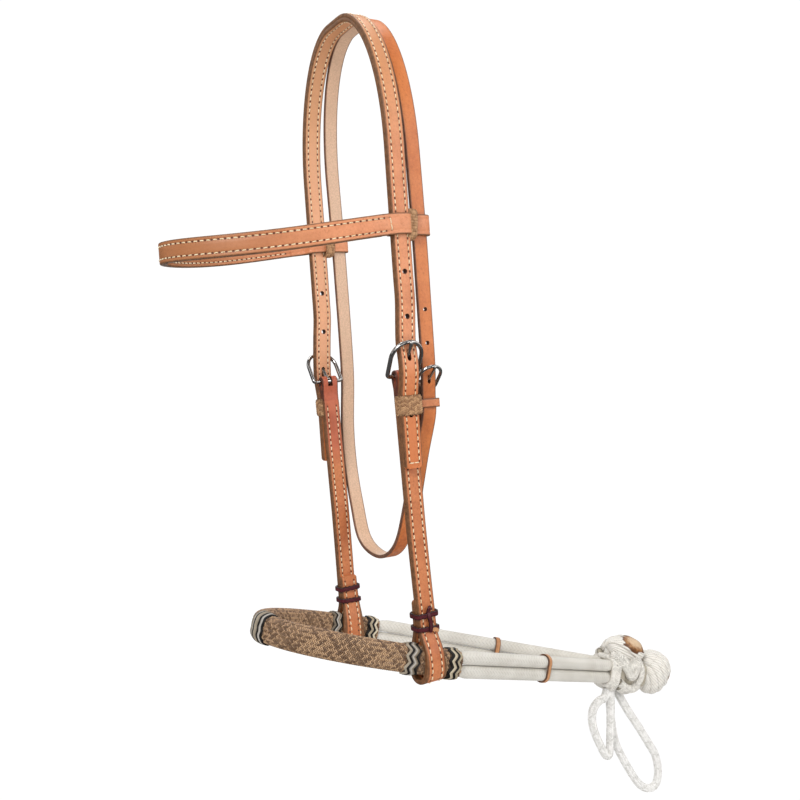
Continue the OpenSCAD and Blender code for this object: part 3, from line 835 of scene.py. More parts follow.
def pin_slot(shape, buckle, extra_degrees, reaches, radius, half_slot, sides):
    """cutter for the slot the pin passes through"""
    angle = pin_angle(buckle) + math.radians(extra_degrees)
    line = buckle.place(np.outer(reaches, (math.sin(angle), 0, math.cos(angle))))
    turn = circle(sides) + 0.01
    section = np.stack([radius * np.cos(turn) + half_slot * np.sign(np.cos(turn)),
                        radius * np.sin(turn)], 1)
    sweep(shape, Path(line, direction(buckle.place, Y_AXIS)), section)


def buckle_ring(buckle):
    side, foot = buckle.width / 2 - buckle.wire / 2, 2.2     # foot is the lower corner radius
    bow = [(side * math.cos(a), buckle.reach - side + side * math.sin(a))
           for a in np.linspace(0, math.pi, 25)]
    leg = [(-side, z) for z in np.linspace(buckle.reach - side - 1.2, foot + 0.4, 8)]
    leg += [(-side + foot - foot * math.cos(a), foot - foot * math.sin(a))
            for a in np.linspace(0.2, math.pi / 2, 6)]
    half_bar = side - foot - 0.8
    bar = [(y, 0) for y in np.linspace(-half_bar, half_bar, 11)]
    line = bow + leg + bar + [(-y, z) for y, z in reversed(leg)]
    sin, cos = math.sin(buckle.lean), math.cos(buckle.lean)
    points = buckle.place(vec(*[(z * sin, y, z * cos) for y, z in line]))
    turn = circle(20)
    section = buckle.wire * np.stack([np.cos(turn) * 0.5, np.sin(turn) * 0.58], 1)
    shape = Shape()
    sweep(shape, Path(points, direction(buckle.place, vec(cos, 0, -sin)), closed=True), section)
    return shape


def buckle_pin(buckle):
    shape = Shape()
    angle, length, eye = pin_angle(buckle), buckle.pin_length, buckle.eye
    along = vec(math.sin(angle), 0, math.cos(angle))
    up = vec(math.cos(angle), 0, -math.sin(angle))
    across = direction(buckle.place, Y_AXIS)
    # columns: distance along the pin, height
    line = [(0.5 * eye, 0.4), (eye * 0.9, 0.3), (8, 0), (14, 0), (buckle.pin_bend - 4, 0),
            (buckle.pin_bend, 0), (length - 1.6, -0.15), (length, -0.55)]
    points = buckle.place(spline([along * reach + up * rise for reach, rise in line], 6))
    run = lengths(points)
    end = run[-1]
    radius = buckle.pin_radius * np.interp(run, [0, 4, end * 0.6, end - 1.2, end - 0.5, end],
                                           [1.1, 1.15, 1, 0.95, 0.72, 0.15])
    tube(shape, Path(points, across), radius, 16)
    bore = buckle.wire / 2 + 0.06
    turn = circle(28)
    eye_line = (eye + bore) / 2 * np.stack([np.cos(turn), 0 * turn, np.sin(turn)], 1)
    half = (eye - bore) / 2
    sweep(shape, Path(buckle.place(eye_line), across, closed=True),
          strap_section(-half, half, buckle.eye_width, 0.35, 0.35))
    return shape


# ------------------------------------------------------------------ crown strap
CROWN_X, CROWN_TOP = 74, 3.13
ARCH_FLAT, ARCH_RISE = 10, 115         # half width of the flat top, height of the arch
ARCH_Z = CROWN_TOP - ARCH_RISE
# near billet from its tip up: x, y, z
CROWN_BILLET = [
    (73.1, BILLET_Y, -357), (73.1, BILLET_Y, -325), (73.2, BILLET_Y, -306),
    (73.8, BILLET_Y, -299.5), (75.5, BILLET_Y, -292.5), (77, BILLET_Y, -285.5),
    (77.3, BILLET_Y, -279), (76.45, BILLET_Y, -270), (75.2, BILLET_Y, -261),
    (74.8, BILLET_Y * 0.6, -247), (74.3, 0, -228), (CROWN_X, 0, -205), (CROWN_X, 0, -130)]
# billet holes: x, y, z where each starts, and its depth outward
CROWN_HOLES = [(66, 0, -207.5, 20), (66, -0.875, -241.5, 20), (64, BILLET_Y, -316, 16)]


def crown_cutter():
    cutter = Shape()
    for far in (0, 1):
        side = Shape()
        for x, y, z, depth in CROWN_HOLES:
            line = [(x + share * depth, y, z) for share in (0, 0.5, 1)]
            tube(side, Path(line, Z_AXIS), 2.1, 24)
        pin_slot(side, CHEEK_BUCKLE, extra_degrees=3.4, reaches=(6, 20, 38), radius=1.75,
                 half_slot=1.55, sides=24)
        side = sided(side, far)
        cutter.add(np.vstack(side.points), side.faces)
    return cutter


def crown_strap():
    arch = [(ARCH_FLAT + (CROWN_X - ARCH_FLAT) * math.cos(a), 0,
             ARCH_Z + ARCH_RISE * math.sin(a)) for a in np.radians(range(0, 91, 2))]
    half = np.vstack([spline(CROWN_BILLET, 12), arch])
    line = resample(np.vstack([half, (half * MIRROR)[::-1]]), 2.4)
    path = Path(dense_ends(line), Y_AXIS)
    end_row = 4.2
    stitched = ((path.run > end_row) & (path.run < path.length - end_row)).astype(float)
    section = strap_section(0.03, 3.13, STRAP_WIDTH, 0.25, 0.85, STRAP_ROW)
    for name, face, node in (("crown_grain_ply", 1, "crown_outer_ply"),
                             ("crown_back_ply", -1, "crown_lining_ply")):
        ply = Shape()
        sweep(ply, path, section * vec(face, 1), end_taper(path, STRAP_WIDTH, 3.2),
              st=stitched)
        make(name, ply, crown_material, "headstall", [node],
             cut=crown_cutter())
    thread = Shape()
    starts = np.arange(5.0, path.length - 9.5, STITCH_PITCH)
    stitch_rows(thread, STRAP_ROW, (path, starts, 3.02), (path, starts, -3.02))
    cross_stitches(thread, path, (end_row, path.length - end_row), 0.2, 4.0, 3.05, (1, -1))
    make("crown_stitching", thread, thread_material, "headstall")


crown_strap()

# ------------------------------------------------------------------ throatlatch
# one strap from the billet tip, over the crown and under the throat: x, y, z
THROAT_BILLET = [
    (50.5, 8, -392), (60.6, 13, -349.5), (66.4, 18.6, -319), (66.9, 19.2, -305),
    (67.9, 19.2, -296), (69.2, 19.2, -287), (69.8, 19.2, -277), (70, 19.2, -262),
    (70, 19.2, -225), (70, 19.2, -196)]
THROAT_UNDER = [
    (-70, 19.2, -196), (-70, 19.4, -245), (-71.3, 19.4, -285), (-73.3, 17, -328),
    (-70.8, 16.1, -365), (-59.6, 14.1, -398), (-41, 9.1, -423), (-18, 7, -433.5),
    (8, 6.5, -434), (31, 6.5, -420), (46, 8, -390), (56, 13, -348), (60.9, 18.6, -318),
    (60.4, 19.2, -309), (60.3, 19.2, -303), (59.55, 19.2, -299)]
THROAT_END = [(64.3, 19.2, -300), (63.55, 19.2, -304), (63.45, 19.2, -309)]
# keeper outline: x, y
THROAT_KEEPER = [
    (56.9, 12.0), (56.9, 26.4), (57.6, 27.3), (58.6, 27.6), (63.75, 27.6), (68.9, 27.6),
    (69.9, 27.3), (70.6, 26.4), (70.6, 19.2), (70.6, 12.0), (69.9, 11.1), (68.9, 10.8),
    (63.75, 10.8), (58.6, 10.8), (57.6, 11.1)]


def throat_line():
    def y_at(z):
        return THROAT_BAR[1] - 4.6 * min(1, max(0, (z + 194) / 194)) ** 1.5

    over = [(70, y_at(z), z) for z in range(-190, -112, 10)]
    for a in np.radians(range(0, 91, 5)):
        z = ARCH_Z + ARCH_RISE * math.sin(a)
        reach = 70 + 4 * (1 - math.cos(a)) - ARCH_FLAT
        over.append((ARCH_FLAT + reach * math.cos(a), y_at(z), z))
    over_far = [(-x, y, z) for x, y, z in reversed(over)][1:]
    round_bar = [tuple(throat(2.66 * vec(math.cos(a), 0, math.sin(a))))
                 for a in np.linspace(math.pi * 1.02, -0.02 * math.pi, 9)]
    return THROAT_BILLET + over + over_far + THROAT_UNDER + round_bar + THROAT_END


def throat_strap():
    path = Path(dense_ends(resample(spline(throat_line(), 8), 2.0)), Y_AXIS)
    folded = np.clip((path.run - (path.length - 34)) / 10, 0, 1)
    strap, cutter = Shape(), Shape()
    sweep(strap, path, strap_section(-1.5, 1.5, THROAT_WIDTH, 0.7, 0.7),
          end_taper(path, THROAT_WIDTH, 3.4), 1 - 0.2 * folded)
    bar_y = THROAT_BAR[1]
    for z in (-236, -262):
        line = [(x, bar_y, z) for x in (66.5, 70, 73)]
        tube(cutter, Path(line, Z_AXIS), np.array([0.35, 1.25, 2.2]), 20)
    pin_slot(cutter, THROAT_BUCKLE, extra_degrees=3, reaches=(3, 12, 24), radius=1.4,
             half_slot=1.2, sides=20)
    box(cutter, (-4.5, -1.75, -3.9), (4.5, 1.75, 6), throat)
    make("throatlatch_strap", strap, throat_material,
         ("headstall", "throatlatch", (0, 0.0192, -0.183), (0, 0.0192, -0.208)),
         ["throat_upper_strap", "throat_lower_strap", "throat_billet"],
         cut=cutter)


def throat_keeper():
    outline = np.insert(spline(THROAT_KEEPER[::-1], 6, closed=True), 2, -308.5, axis=1)
    band = Shape()
    sweep(band, Path(outline, Z_AXIS, closed=True), strap_section(0, 1.5, 7, 0.35, 0.35))
    make("throat_billet_keeper_band", band, keeper_material, "throat_billet_keeper",
         ["throat_keeper"])


throat_strap()
throat_keeper()

# ------------------------------------------------------------------ browband
BROW_X, BROW_Y = 79.2, 160             # half axes of its plan
BROW_Z, BROW_TILT, BROW_DIP = -167.5, 4, 15.5
LOOP_Z = (BROW_Z - BROW_TILT, BROW_Z + BROW_TILT)     # near, far
# near loop from the band round the crown and throat straps: x, y
BROW_LOOP = [
    (78.9, -15.5), (79.0, -10), (78.85, -3), (78.8, 4), (78.2, 7.2), (75.8, 9.2),
    (74.0, 11.2), (73.4, 14), (73.3, 19), (73.3, 24), (72.6, 26.5), (70.2, 27.6),
    (67.8, 26.6), (67.1, 24), (67.0, 19), (67.0, 13.5), (67.3, 10.8), (68.4, 8.6),
    (69.2, 6), (69.3, 0), (69.3, -6), (70.4, -9.0), (73.6, -10.6), (76.2, -13.0),
    (76.6, -18), (76.2, -26)]
# tie round the loop: x, and z from the loop's middle
TIE_OUTLINE = [
    (76.9, -6.2), (76.9, 6.2), (76.4, 8.8), (74, 9.9), (71.8, 10.1), (69.2, 9.9), (66.9, 8.8),
    (66.2, 6.2), (66.2, -6.2), (66.9, -8.8), (69.2, -9.9), (71.8, -10.1), (74, -9.9),
    (76.4, -8.8)]


def brow_drop(y):
    return BROW_DIP * np.sin(math.pi / 2 * np.clip(-y / BROW_Y, 0, 1)) ** 1.2


def brow_arc(degrees, offset):
    """points on the band's plan ellipse, moved outward by offset"""
    x, y = BROW_X * np.cos(np.radians(degrees)), -BROW_Y * np.sin(np.radians(degrees))
    z = BROW_Z - brow_drop(y) - BROW_TILT * x / CROWN_X
    outward = unit(np.stack([x / BROW_X ** 2, y / BROW_Y ** 2, 0 * x], 1))
    return np.stack([x, y, z], 1) + outward * offset


def brow_loop(z):
    x, y = np.array(BROW_LOOP).T
    return np.stack([x, y, z - brow_drop(y)], 1)


def browband():
    line = np.vstack([brow_loop(LOOP_Z[0])[::-1], brow_arc(np.arange(9, 171.1, 3), 1.35),
                      brow_loop(LOOP_Z[1]) * MIRROR])
    outer = Path(resample(spline(line, 7), 1.8), Z_AXIS)
    y, run = outer.points[:, 1], outer.run
    in_loop = np.clip((y + 19) / 6, 0, 1)
    stitched = (y < -10.5) & (run > 60) & (run < outer.length - 60)
    grain = Shape()
    sweep(grain, outer, strap_section(-1.35, 1.35, BROW_WIDTH, 0.45, 0.8, BROW_ROW),
          depth=1 - 0.24 * in_loop, st=stitched.astype(float))
    make("browband_grain_ply", grain, brow_material, "browband",
         ["browband_outer_ply", "near_browband_loop", "far_browband_loop"])

    line = resample(spline(brow_arc(np.arange(6.2, 174, 2.8), -1.4), 5), 2.0)
    inner = Path(dense_ends(line, 2.0, 5), Z_AXIS)
    back = Shape()
    sweep(back, inner,
          strap_section(-1.3, 1.3, BROW_WIDTH, 0.45, 0.8, BROW_ROW) * vec(-1, 1),
          end_taper(inner, BROW_WIDTH, 2.0),
          st=((inner.run > 3) & (inner.run < inner.length - 3)).astype(float))
    make("browband_back_ply", back, brow_material, "browband",
         ["browband_lining_ply"])

    thread = Shape()
    first, last = run[stitched][[0, -1]]
    first_start = math.ceil(first / STITCH_PITCH) * STITCH_PITCH
    stitch_rows(thread, BROW_ROW,
                (outer, np.arange(first_start, last - 5, STITCH_PITCH), 1.24),
                (inner, np.arange(5.0, inner.length - 9, STITCH_PITCH), -1.2))
    cross_stitches(thread, outer, (first - 1.0, last + 1.0), 0.3, 4.4, 1.28, (1,))
    make("browband_stitching", thread, thread_material, "browband")


def browband_tie(far, side):
    x, height = spline(TIE_OUTLINE[::-1], 8, closed=True).T
    outline = np.stack([x, 9.7 + 0.10 * height, LOOP_Z[far] + height], 1)
    core, woven = woven_band(outline, Y_AXIS, width=7.4, strands=26, strand_width=1.5,
                             thickness=0.75, rise=0.36, base=0.9)
    make(side + "_tie_core", sided(core, far), core_material, "browband")
    make(side + "_woven_tie", sided(woven, far), rawhide_material, "browband",
         [side + "_browband_tie"])


browband()
for far, side in enumerate(SIDES):
    browband_tie(far, side)

# ------------------------------------------------------------------ cheek straps
# from the buckle down and round the noseband, in the cheek frame: x, z
CHEEK_LINE = [
    (0, -17), (0, -30), (0, -60), (0, -90), (0, -120), (1.2, -160), (2.1, -182),
    (2.3, -191), (2.9, -198), (5.5, -204), (9.0, -209.5), (11.0, -215.5), (11.6, -223),
    (11.1, -229.0), (9.0, -233.8), (5.7, -236.1), (1.8, -236.7), (-2.6, -235.4),
    (-6.0, -231.5), (-7.1, -225.8), (-7.3, -219.5), (-6.7, -212.5), (-5.4, -206),
    (-4.3, -200), (-3.6, -192), (-3.3, -184), (-3.3, -174.5)]
CHAPE_LEG = [(1.57, -17.2), (1.57, -13), (1.8, -9), (2.7, -4.5), (3.22, 0)]     # x, z
# woven keeper outline: x, y
KEEPER_OUTLINE = [
    (10.6, 5.5), (10.6, 0), (10.6, -5.5), (10.2, -7.4), (8.8, -8.0), (5.5, -8.1), (2.4, -8.0),
    (1.1, -7.4), (0.8, -5.5), (0.8, 0), (0.8, 5.5), (1.1, 7.4), (2.4, 8.0), (5.5, 8.1),
    (8.8, 8.0), (10.2, 7.4)]
LACE_OUT, LACE_IN, LACE_HALF = 6.2, -6.1, 8.5     # x of its faces, half its width in y
# lace pieces: x from LACE_OUT, y, z
LACE_LINK = [(0.9, 0.2, -183), (1.6, 0.0, -187), (1.5, 1.0, -191.5), (1.7, 0.6, -196),
             (0.9, 0.5, -199)]
LACE_KNOT = [(0.6, -0.5, -184.6), (1.8, -0.3, -181.4), (2.2, 0.6, -179.8), (1.2, 1.4, -178.6)]
LACE_TIP = [(1.3, 2.2, -197.6), (2.3, 3.6, -197.2), (2.6, 5.4, -197.8), (1.6, 6.8, -199.2)]
CHEEK_BLEND = ("headstall", "bosal", (0, 0.003, -0.4555), (0, 0.003, -0.4900))

cheek_path = Path(dense_ends(resample(cheek_xz(spline(CHEEK_LINE, 10)), 1.6), 2.5), CHEEK_Y)


def cheek_depth(run):
    """the strap is thinner where it turns round the noseband"""
    return np.interp(run, [0, 178, 192, cheek_path.length], [1.0, 1.0, 0.66, 0.60])


def cheek_strap(far, side):
    run, end = cheek_path.run, cheek_path.length
    # the strap spreads towards the nose where it bends under the noseband
    flare = smoothed(np.interp(run, [0, 204, 214, 226, 240, 252, 264, end],
                               [0, 0, 0.9, 3.6, 4.4, 2.6, 0, 0]), 5)
    width = smoothed(np.interp(run, [0, 192, 212, 255, 275, end],
                               [1, 1, 1.12, 1.12, 1, 1]), 4) + flare / STRAP_WIDTH
    path = Path(cheek_path.points - CHEEK_Y * (flare / 2)[:, None], CHEEK_Y)
    outward = -1.0 if cheek_path.normal[3] @ X_AXIS < 0 else 1.0
    section = strap_section(0.02, 3.12, STRAP_WIDTH, 0.25, 0.85, STRAP_ROW)
    strap = Shape()
    for face in (1, -1):
        inside = 1.0 if face * outward < 0 else 0.0
        sweep(strap, path, section * vec(face, 1),
              end_taper(cheek_path, STRAP_WIDTH, 2.5, start=False) * width, cheek_depth(run),
              st=((run > 3) & (run < end - 3)).astype(float),
              rus=inside * np.clip((60 - run) / 20, 0, 1))
    make(side + "_cheek_leather", sided(strap, far), cheek_material, CHEEK_BLEND,
         [side + "_cheek_strap", side + "_noseband_loop"])


def chape(far, side):
    """the fold of leather round the buckle bar"""
    over_bar = [(3.22 * math.cos(a), 3.22 * math.sin(a))
                for a in np.linspace(0.4, math.pi - 0.4, 7)]
    line = CHAPE_LEG + over_bar + [(-x, z) for x, z in reversed(CHAPE_LEG)]
    fold, cutter = Shape(), Shape()
    sweep(fold, Path(resample(cheek_xz(spline(line, 8)), 0.9), CHEEK_Y),
          strap_section(-1.5, 1.5, STRAP_WIDTH, 0.8, 0.8))
    box(cutter, (-9, -2.15, -4.2), (9, 2.15, 12), cheek)
    make(side + "_chape", sided(fold, far), chape_material, "headstall",
         cut=sided(cutter, far))


def cheek_stitching(far, side):
    starts = np.arange(5.0, cheek_path.length - 8, STITCH_PITCH)
    surface = 3.02 * cheek_depth(starts)
    thread = Shape()
    stitch_rows(thread, STRAP_ROW, (cheek_path, starts, surface),
                (cheek_path, starts, -surface))
    make(side + "_cheek_stitching", sided(thread, far), thread_material, CHEEK_BLEND)


def lace_wrap(shape, height, tilt):
    out, back, half = LACE_OUT, LACE_IN, LACE_HALF
    outline = [
        (out - 0.4, -half + 0.8), (out, -half + 2.2), (out, 0), (out, half - 2.2),
        (out - 0.4, half - 0.8), (out - 2, half), (0, half + 0.05), (back + 2, half),
        (back + 0.4, half - 0.8), (back, half - 2.2), (back, 0), (back, -half + 2.2),
        (back + 0.4, -half + 0.8), (back + 2, -half), (0, -half - 0.05), (out - 2, -half)]
    x, y = spline(outline, 6, closed=True).T
    z = height + tilt * y + 0.25 * np.sin(y * 1.3 + height)
    path = Path(cheek(np.stack([x, y, z], 1)), CHEEK_Z, closed=True)
    sweep(shape, path, strap_section(-0.4, 1.5, 4.0, 0.5, 0.7) * vec(path.outward(), 1))


def lace_piece(shape, points, width, across):
    path = Path(cheek(spline(points, 6) + vec(LACE_OUT, 0, 0)), across)
    sweep(shape, path, strap_section(-0.8, 0.8, width, 0.6, 0.6), end_taper(path, width, 1.2))


def cheek_lace(far, side):
    lace, tip = Shape(), Shape()
    lace_wrap(lace, height=-185.6, tilt=0.03)
    lace_wrap(lace, height=-196.4, tilt=-0.05)
    lace_piece(lace, LACE_LINK, 3.4, CHEEK_Y)
    lace_piece(lace, LACE_KNOT, 3.0, CHEEK_Y)
    make(side + "_lace", sided(lace, far), lace_material, CHEEK_BLEND,
         [side + "_cheek_lace"])
    lace_piece(tip, LACE_TIP, 3.0, Z_AXIS)
    make(side + "_lace_end", sided(tip, far), tan_material, CHEEK_BLEND)


def cheek_buckle(far, side):
    make(side + "_buckle_ring", sided(buckle_ring(CHEEK_BUCKLE), far), nickel_material,
         side + "_buckle", [side + "_buckle_frame"])
    make(side + "_buckle_pin", sided(buckle_pin(CHEEK_BUCKLE), far), nickel_material,
         side + "_tongue", [side + "_buckle_tongue"])


def cheek_keeper(far, side):
    outline = cheek(np.insert(spline(KEEPER_OUTLINE, 8, closed=True), 2, -22.8, axis=1))
    core, woven = woven_band(outline, CHEEK_Z, width=14.2, strands=20, strand_width=2.05,
                             thickness=0.8, rise=0.38, base=0.5)
    make(side + "_keeper_core", sided(core, far), core_material, "headstall")
    make(side + "_woven_keeper", sided(woven, far), rawhide_material, "headstall",
         [side + "_keeper"])


for far, side in enumerate(SIDES):
    for piece in (cheek_strap, chape, cheek_stitching, cheek_lace, cheek_buckle, cheek_keeper):
        piece(far, side)
make("throat_buckle_ring", buckle_ring(THROAT_BUCKLE), nickel_material, "throat_buckle",
     ["throat_buckle_frame"])
make("throat_buckle_pin", buckle_pin(THROAT_BUCKLE), nickel_material, "throat_tongue",
     ["throat_buckle_tongue"])

# ------------------------------------------------------------------ noseband
# plan in the noseband frame: a half ellipse in front, sides that taper in to the heel
NOSE_X, NOSE_FRONT = 68.8, 112.0
TAPER_START, TAPER_FULL, HEEL_Y = 12.0, 42.0, 250.0
SLOPE = (NOSE_X - 5.6) / (HEEL_Y - 27)


def side_x(y):
    if y <= 0:
        return NOSE_X * math.sqrt(max(0, 1 - y * y / NOSE_FRONT ** 2))
    if y < TAPER_START:
        return NOSE_X
    ease = TAPER_FULL - TAPER_START
    if y < TAPER_FULL:
        return NOSE_X - SLOPE / (2 * ease) * (y - TAPER_START) ** 2
    return NOSE_X - SLOPE * ease / 2 - SLOPE * (y - TAPER_FULL)


def nose_loop(end_y, height):
    """open loop round the nose, from the far side's end_y to the near side's"""
    half = [(NOSE_X * math.cos(a), -NOSE_FRONT * math.sin(a))
            for a in np.radians(np.arange(90, -0.1, -2))]
    half += [(NOSE_X, 4), (NOSE_X, 8)]
    half += [(side_x(y), y) for y in np.arange(TAPER_START, end_y, 3)]
    half.append((side_x(end_y), end_y))
    line = [(-x, y) for x, y in reversed(half)] + half[1:]
    return nose(np.insert(np.array(line, float), 2, height, axis=1))


nose_path = Path(resample(nose_loop(26, 0.0), 1.2), NOSE_Z)


def noseband():
    sleeve, braid = Shape(), Shape()
    sweep(sleeve, nose_path, stadium_section(12.6, 19.9))
    make("braid_core_sleeve", sleeve, core_material, "bosal")
    strands = 30
    around = stadium_perimeter(13.1, 20.4)
    weave(braid, bar_surface(nose_path, 13.0, 20.3), nose_path.length, strands,
          lay=around * 0.92, width=around / strands * 0.68, thickness=0.55, rise=0.34)
    make("noseband_braiding", braid, braid_material, "bosal",
         ["noseband_braid"], smooth=True)


def zigzag_ring(name, start, end, colours, swing, waves, thickness):
    """zigzag cords laid in pairs round the noseband between two stations of its path"""
    ring_depth, ring_height = 15.5, 22.8
    pitch = (end - start) / len(colours)
    surface = bar_surface(nose_path, ring_depth, ring_height)
    count = int(stadium_perimeter(ring_depth, ring_height) * 1.3)
    share = np.linspace(0, 1, count, endpoint=False)
    sine = np.sin(2 * math.pi * waves * share)
    zigzag = (2 / math.pi) * np.arcsin(sine) * 0.75 + 0.25 * sine
    turn = circle(8)
    section = np.stack([np.cos(turn) * pitch * 0.29, np.sin(turn) * thickness], 1)
    shapes = {}
    for i, colour in enumerate(colours):
        middle = start + (i + 0.5) * pitch
        station = np.full_like(share, middle)
        up = surface(share, station, 1.0) - surface(share, station, 0.0)
        lift = 0.15 - 0.6 * (2 * (i + 0.5) / len(colours) - 1) ** 2
        for shift in (-0.25, 0.25):
            points = surface(share, middle + shift * pitch * 0.98 + swing * zigzag, lift)
            sweep(shapes.setdefault(colour, Shape()), Path(points, up, closed=True), section,
                  sid=rng.random())
    replaced = [name]
    for colour, shape in sorted(shapes.items()):
        make(f"{name}_ring_{colour}", shape, ring_materials[colour], "bosal",
             replaced, smooth=True)
        replaced = ()
    base = Shape()
    line = nose_path.at(np.linspace(start - swing * 0.4, end + swing * 0.4, 8))[0]
    sweep(base, Path(line, NOSE_Z), stadium_section(ring_depth - 0.6, ring_height - 0.6, 36))
    make(name + "_base", base, core_material, "bosal")


def near_station(y):
    """distance along the noseband path to y on the near side"""
    half = len(nose_path.points) // 2
    apart = np.abs(nose_path.points[half:] - nose(vec(side_x(y), y, 0))).sum(1)
    return float(nose_path.run[half + np.argmin(apart)])


def side_ring(name, far, first_y, last_y, colours):
    start, end = near_station(first_y), near_station(last_y)
    if far:
        start, end = nose_path.length - end, nose_path.length - start
        colours = colours[::-1]
    zigzag_ring(name, start, end, colours, swing=1.5, waves=7, thickness=1.15)


noseband()
nose_middle = nose_path.length / 2
zigzag_ring("nose_ring", nose_middle - 9.6, nose_middle + 9.6,
            ["black", "dun", "grey", "black", "dun", "dun", "black", "grey", "black"],
            swing=0.35, waves=9, thickness=1.05)
for far, side in enumerate(SIDES):
    side_ring(side + "_front_ring", far, -23.6, -13.9, ["dun", "black", "grey", "dun", "black"])
    side_ring(side + "_rear_ring", far, 13.6, 24.2, ["black", "cream", "black", "cream"])


# ------------------------------------------------------------------ core ropes
def braid_height(share, run, strands, lay):
    """height 0 to 1 of a fine braid on a rope"""
    one, other = strands * (share - run / lay), strands * (share + run / lay)
    one_strand, other_strand = np.round(one), np.round(other)
    one_height = np.sqrt(np.maximum(0, 1 - (2 * (one - one_strand)) ** 2))
    other_height = np.sqrt(np.maximum(0, 1 - (2 * (other - other_strand)) ** 2))
    return np.where((one_strand + other_strand) % 4 < 2,
                    np.maximum(one_height, 0.45 * other_height),
                    np.maximum(other_height, 0.45 * one_height))


def core_rope(name, height):
    """both sides of one rope from the noseband back to the heel, and its hidden front"""
    slim = 0.84                        # size inside the noseband, against 1 behind it
    rope = Shape()
    sides = 56
    for x_sign in (1, -1):
        line = [(x_sign * side_x(y), y, height * np.clip(slim + 0.16 * (y - 26) / 10, slim, 1))
                for y in [*np.arange(20, HEEL_Y, 2.0), HEEL_Y]]
        path = Path(resample(nose(line), 0.75), NOSE_Z)
        size = np.clip(slim + 0.16 * (path.run - 6.5) / 11, slim, 1)[:, None]
        share, run = np.meshgrid(np.arange(sides) / sides, path.run)
        relief = braid_height(share, run, strands=9, lay=34.0)
        radius = (5.18 + relief * 0.24) * size
        turn = share * 2 * math.pi
        points = (path.points[:, None] + path.normal[:, None] * (radius * np.cos(turn))[..., None]
                  + path.across[:, None] * (radius * np.sin(turn))[..., None])
        # hi, the braid's relief, drives the painted shade on its low parts
        rope.add(points, grid_faces(len(path.points), sides),
                 np.stack([run, turn * 5.4], -1), hi=relief)
    inside = resample(nose_loop(20.2, height * slim), 4.0)
    tube(rope, Path(inside, NOSE_Z), 4.3, 16, hi=1.0)
    make(name + "_rope", rope, rope_material, "bosal", [name + "_core_rope"],
         smooth=True)


def rope_band(far, side, y=140):
    """leather band round the two ropes of one side"""
    angle = math.atan(SLOPE)
    along = vec(-math.sin(angle), math.cos(angle), 0)
    out = vec(math.cos(angle), math.sin(angle), 0)
    n, w = stadium(np.linspace(0, 1, 40, endpoint=False), 11.9, 22.9)[:2]
    outline = nose(vec(side_x(y), y, 0) + out * n[:, None] + Z_AXIS * w[:, None])
    path = Path(outline, direction(nose, along), closed=True)
    band = Shape()
    sweep(band, path, strap_section(-0.5, 1.0, 4.9, 0.4, 0.6) * vec(path.outward(), 1))
    make(side + "_rope_band", sided(band, far), tan_material, side + "_rope_slider",
         [side + "_rope_keeper"])


core_rope("upper", 5.5)
core_rope("lower", -5.5)
for far, side in enumerate(SIDES):
    rope_band(far, side)

# ------------------------------------------------------------------ heel binding
# near cords laid over the barrel, in the noseband frame: x, y, z
HEEL_CORDS = [
    [(8.0, 243.5, 16.0), (12.8, 247.0, 13.6), (15.3, 253.5, 9.0), (15.6, 260.5, 4.0),
     (15.2, 266.4, -1.6), (14.9, 270.0, 1.2), (14.4, 272.4, 7.5), (12.8, 273.6, 13.5),
     (9.0, 274.2, 18.0)],
    [(9.0, 247.4, 18.0), (12.7, 251.6, 15.2), (14.4, 258.0, 11.0), (14.6, 264.2, 6.6),
     (13.2, 268.6, 8.6), (9.5, 269.6, 14.5)],
    [(10.0, 276.0, 14.0), (12.6, 279.2, 8.0), (13.0, 280.4, 1.0), (12.0, 279.0, -6.0),
     (8.5, 276.5, -11.5), (3.0, 275.0, -13.8)],
    [(15.2, 247.0, 7.6), (15.6, 247.4, 0.0), (14.6, 248.0, -8.0), (10.5, 249.0, -13.2),
     (3.0, 249.6, -14.4), (0, 249.7, -14.5)],
    [(14.5, 253.2, -7.6), (14.2, 259.0, -10.8), (13.0, 266.0, -13.2), (11.0, 274.0, -13.4),
     (8.0, 281.0, -11.6), (5.0, 286.0, -8.5)],
    [(12.6, 255.0, -12.6), (10.0, 262.0, -15.2), (6.0, 270.0, -16.2), (2.5, 278.0, -15.2),
     (0.5, 284.0, -12.6)]]


def squared(turn, power):
    """cosine and sine of a circle pushed out towards a square"""
    return [np.sign(wave) * np.abs(wave) ** power for wave in (np.cos(turn), np.sin(turn))]


def barrel(shape, start, end, half_width, half_height):
    """flattened barrel along y with eased ends"""
    rows, sides, ease = 20, 40, 2.5
    y = np.linspace(start, end, rows)[:, None]
    inset = (1 - np.minimum(y - start, end - y) / ease).clip(0)
    size = np.sqrt(np.clip(1 - inset ** 2, 0.05, 1))
    turn = circle(sides)
    x, z = squared(turn, 0.62)
    points = np.stack(np.broadcast_arrays(size * x * half_width, y, size * z * half_height), -1)
    uv = np.stack(np.broadcast_arrays(y, turn * half_width), -1)
    shape.add(nose(points), grid_faces(rows, sides), uv, sid=0.4)


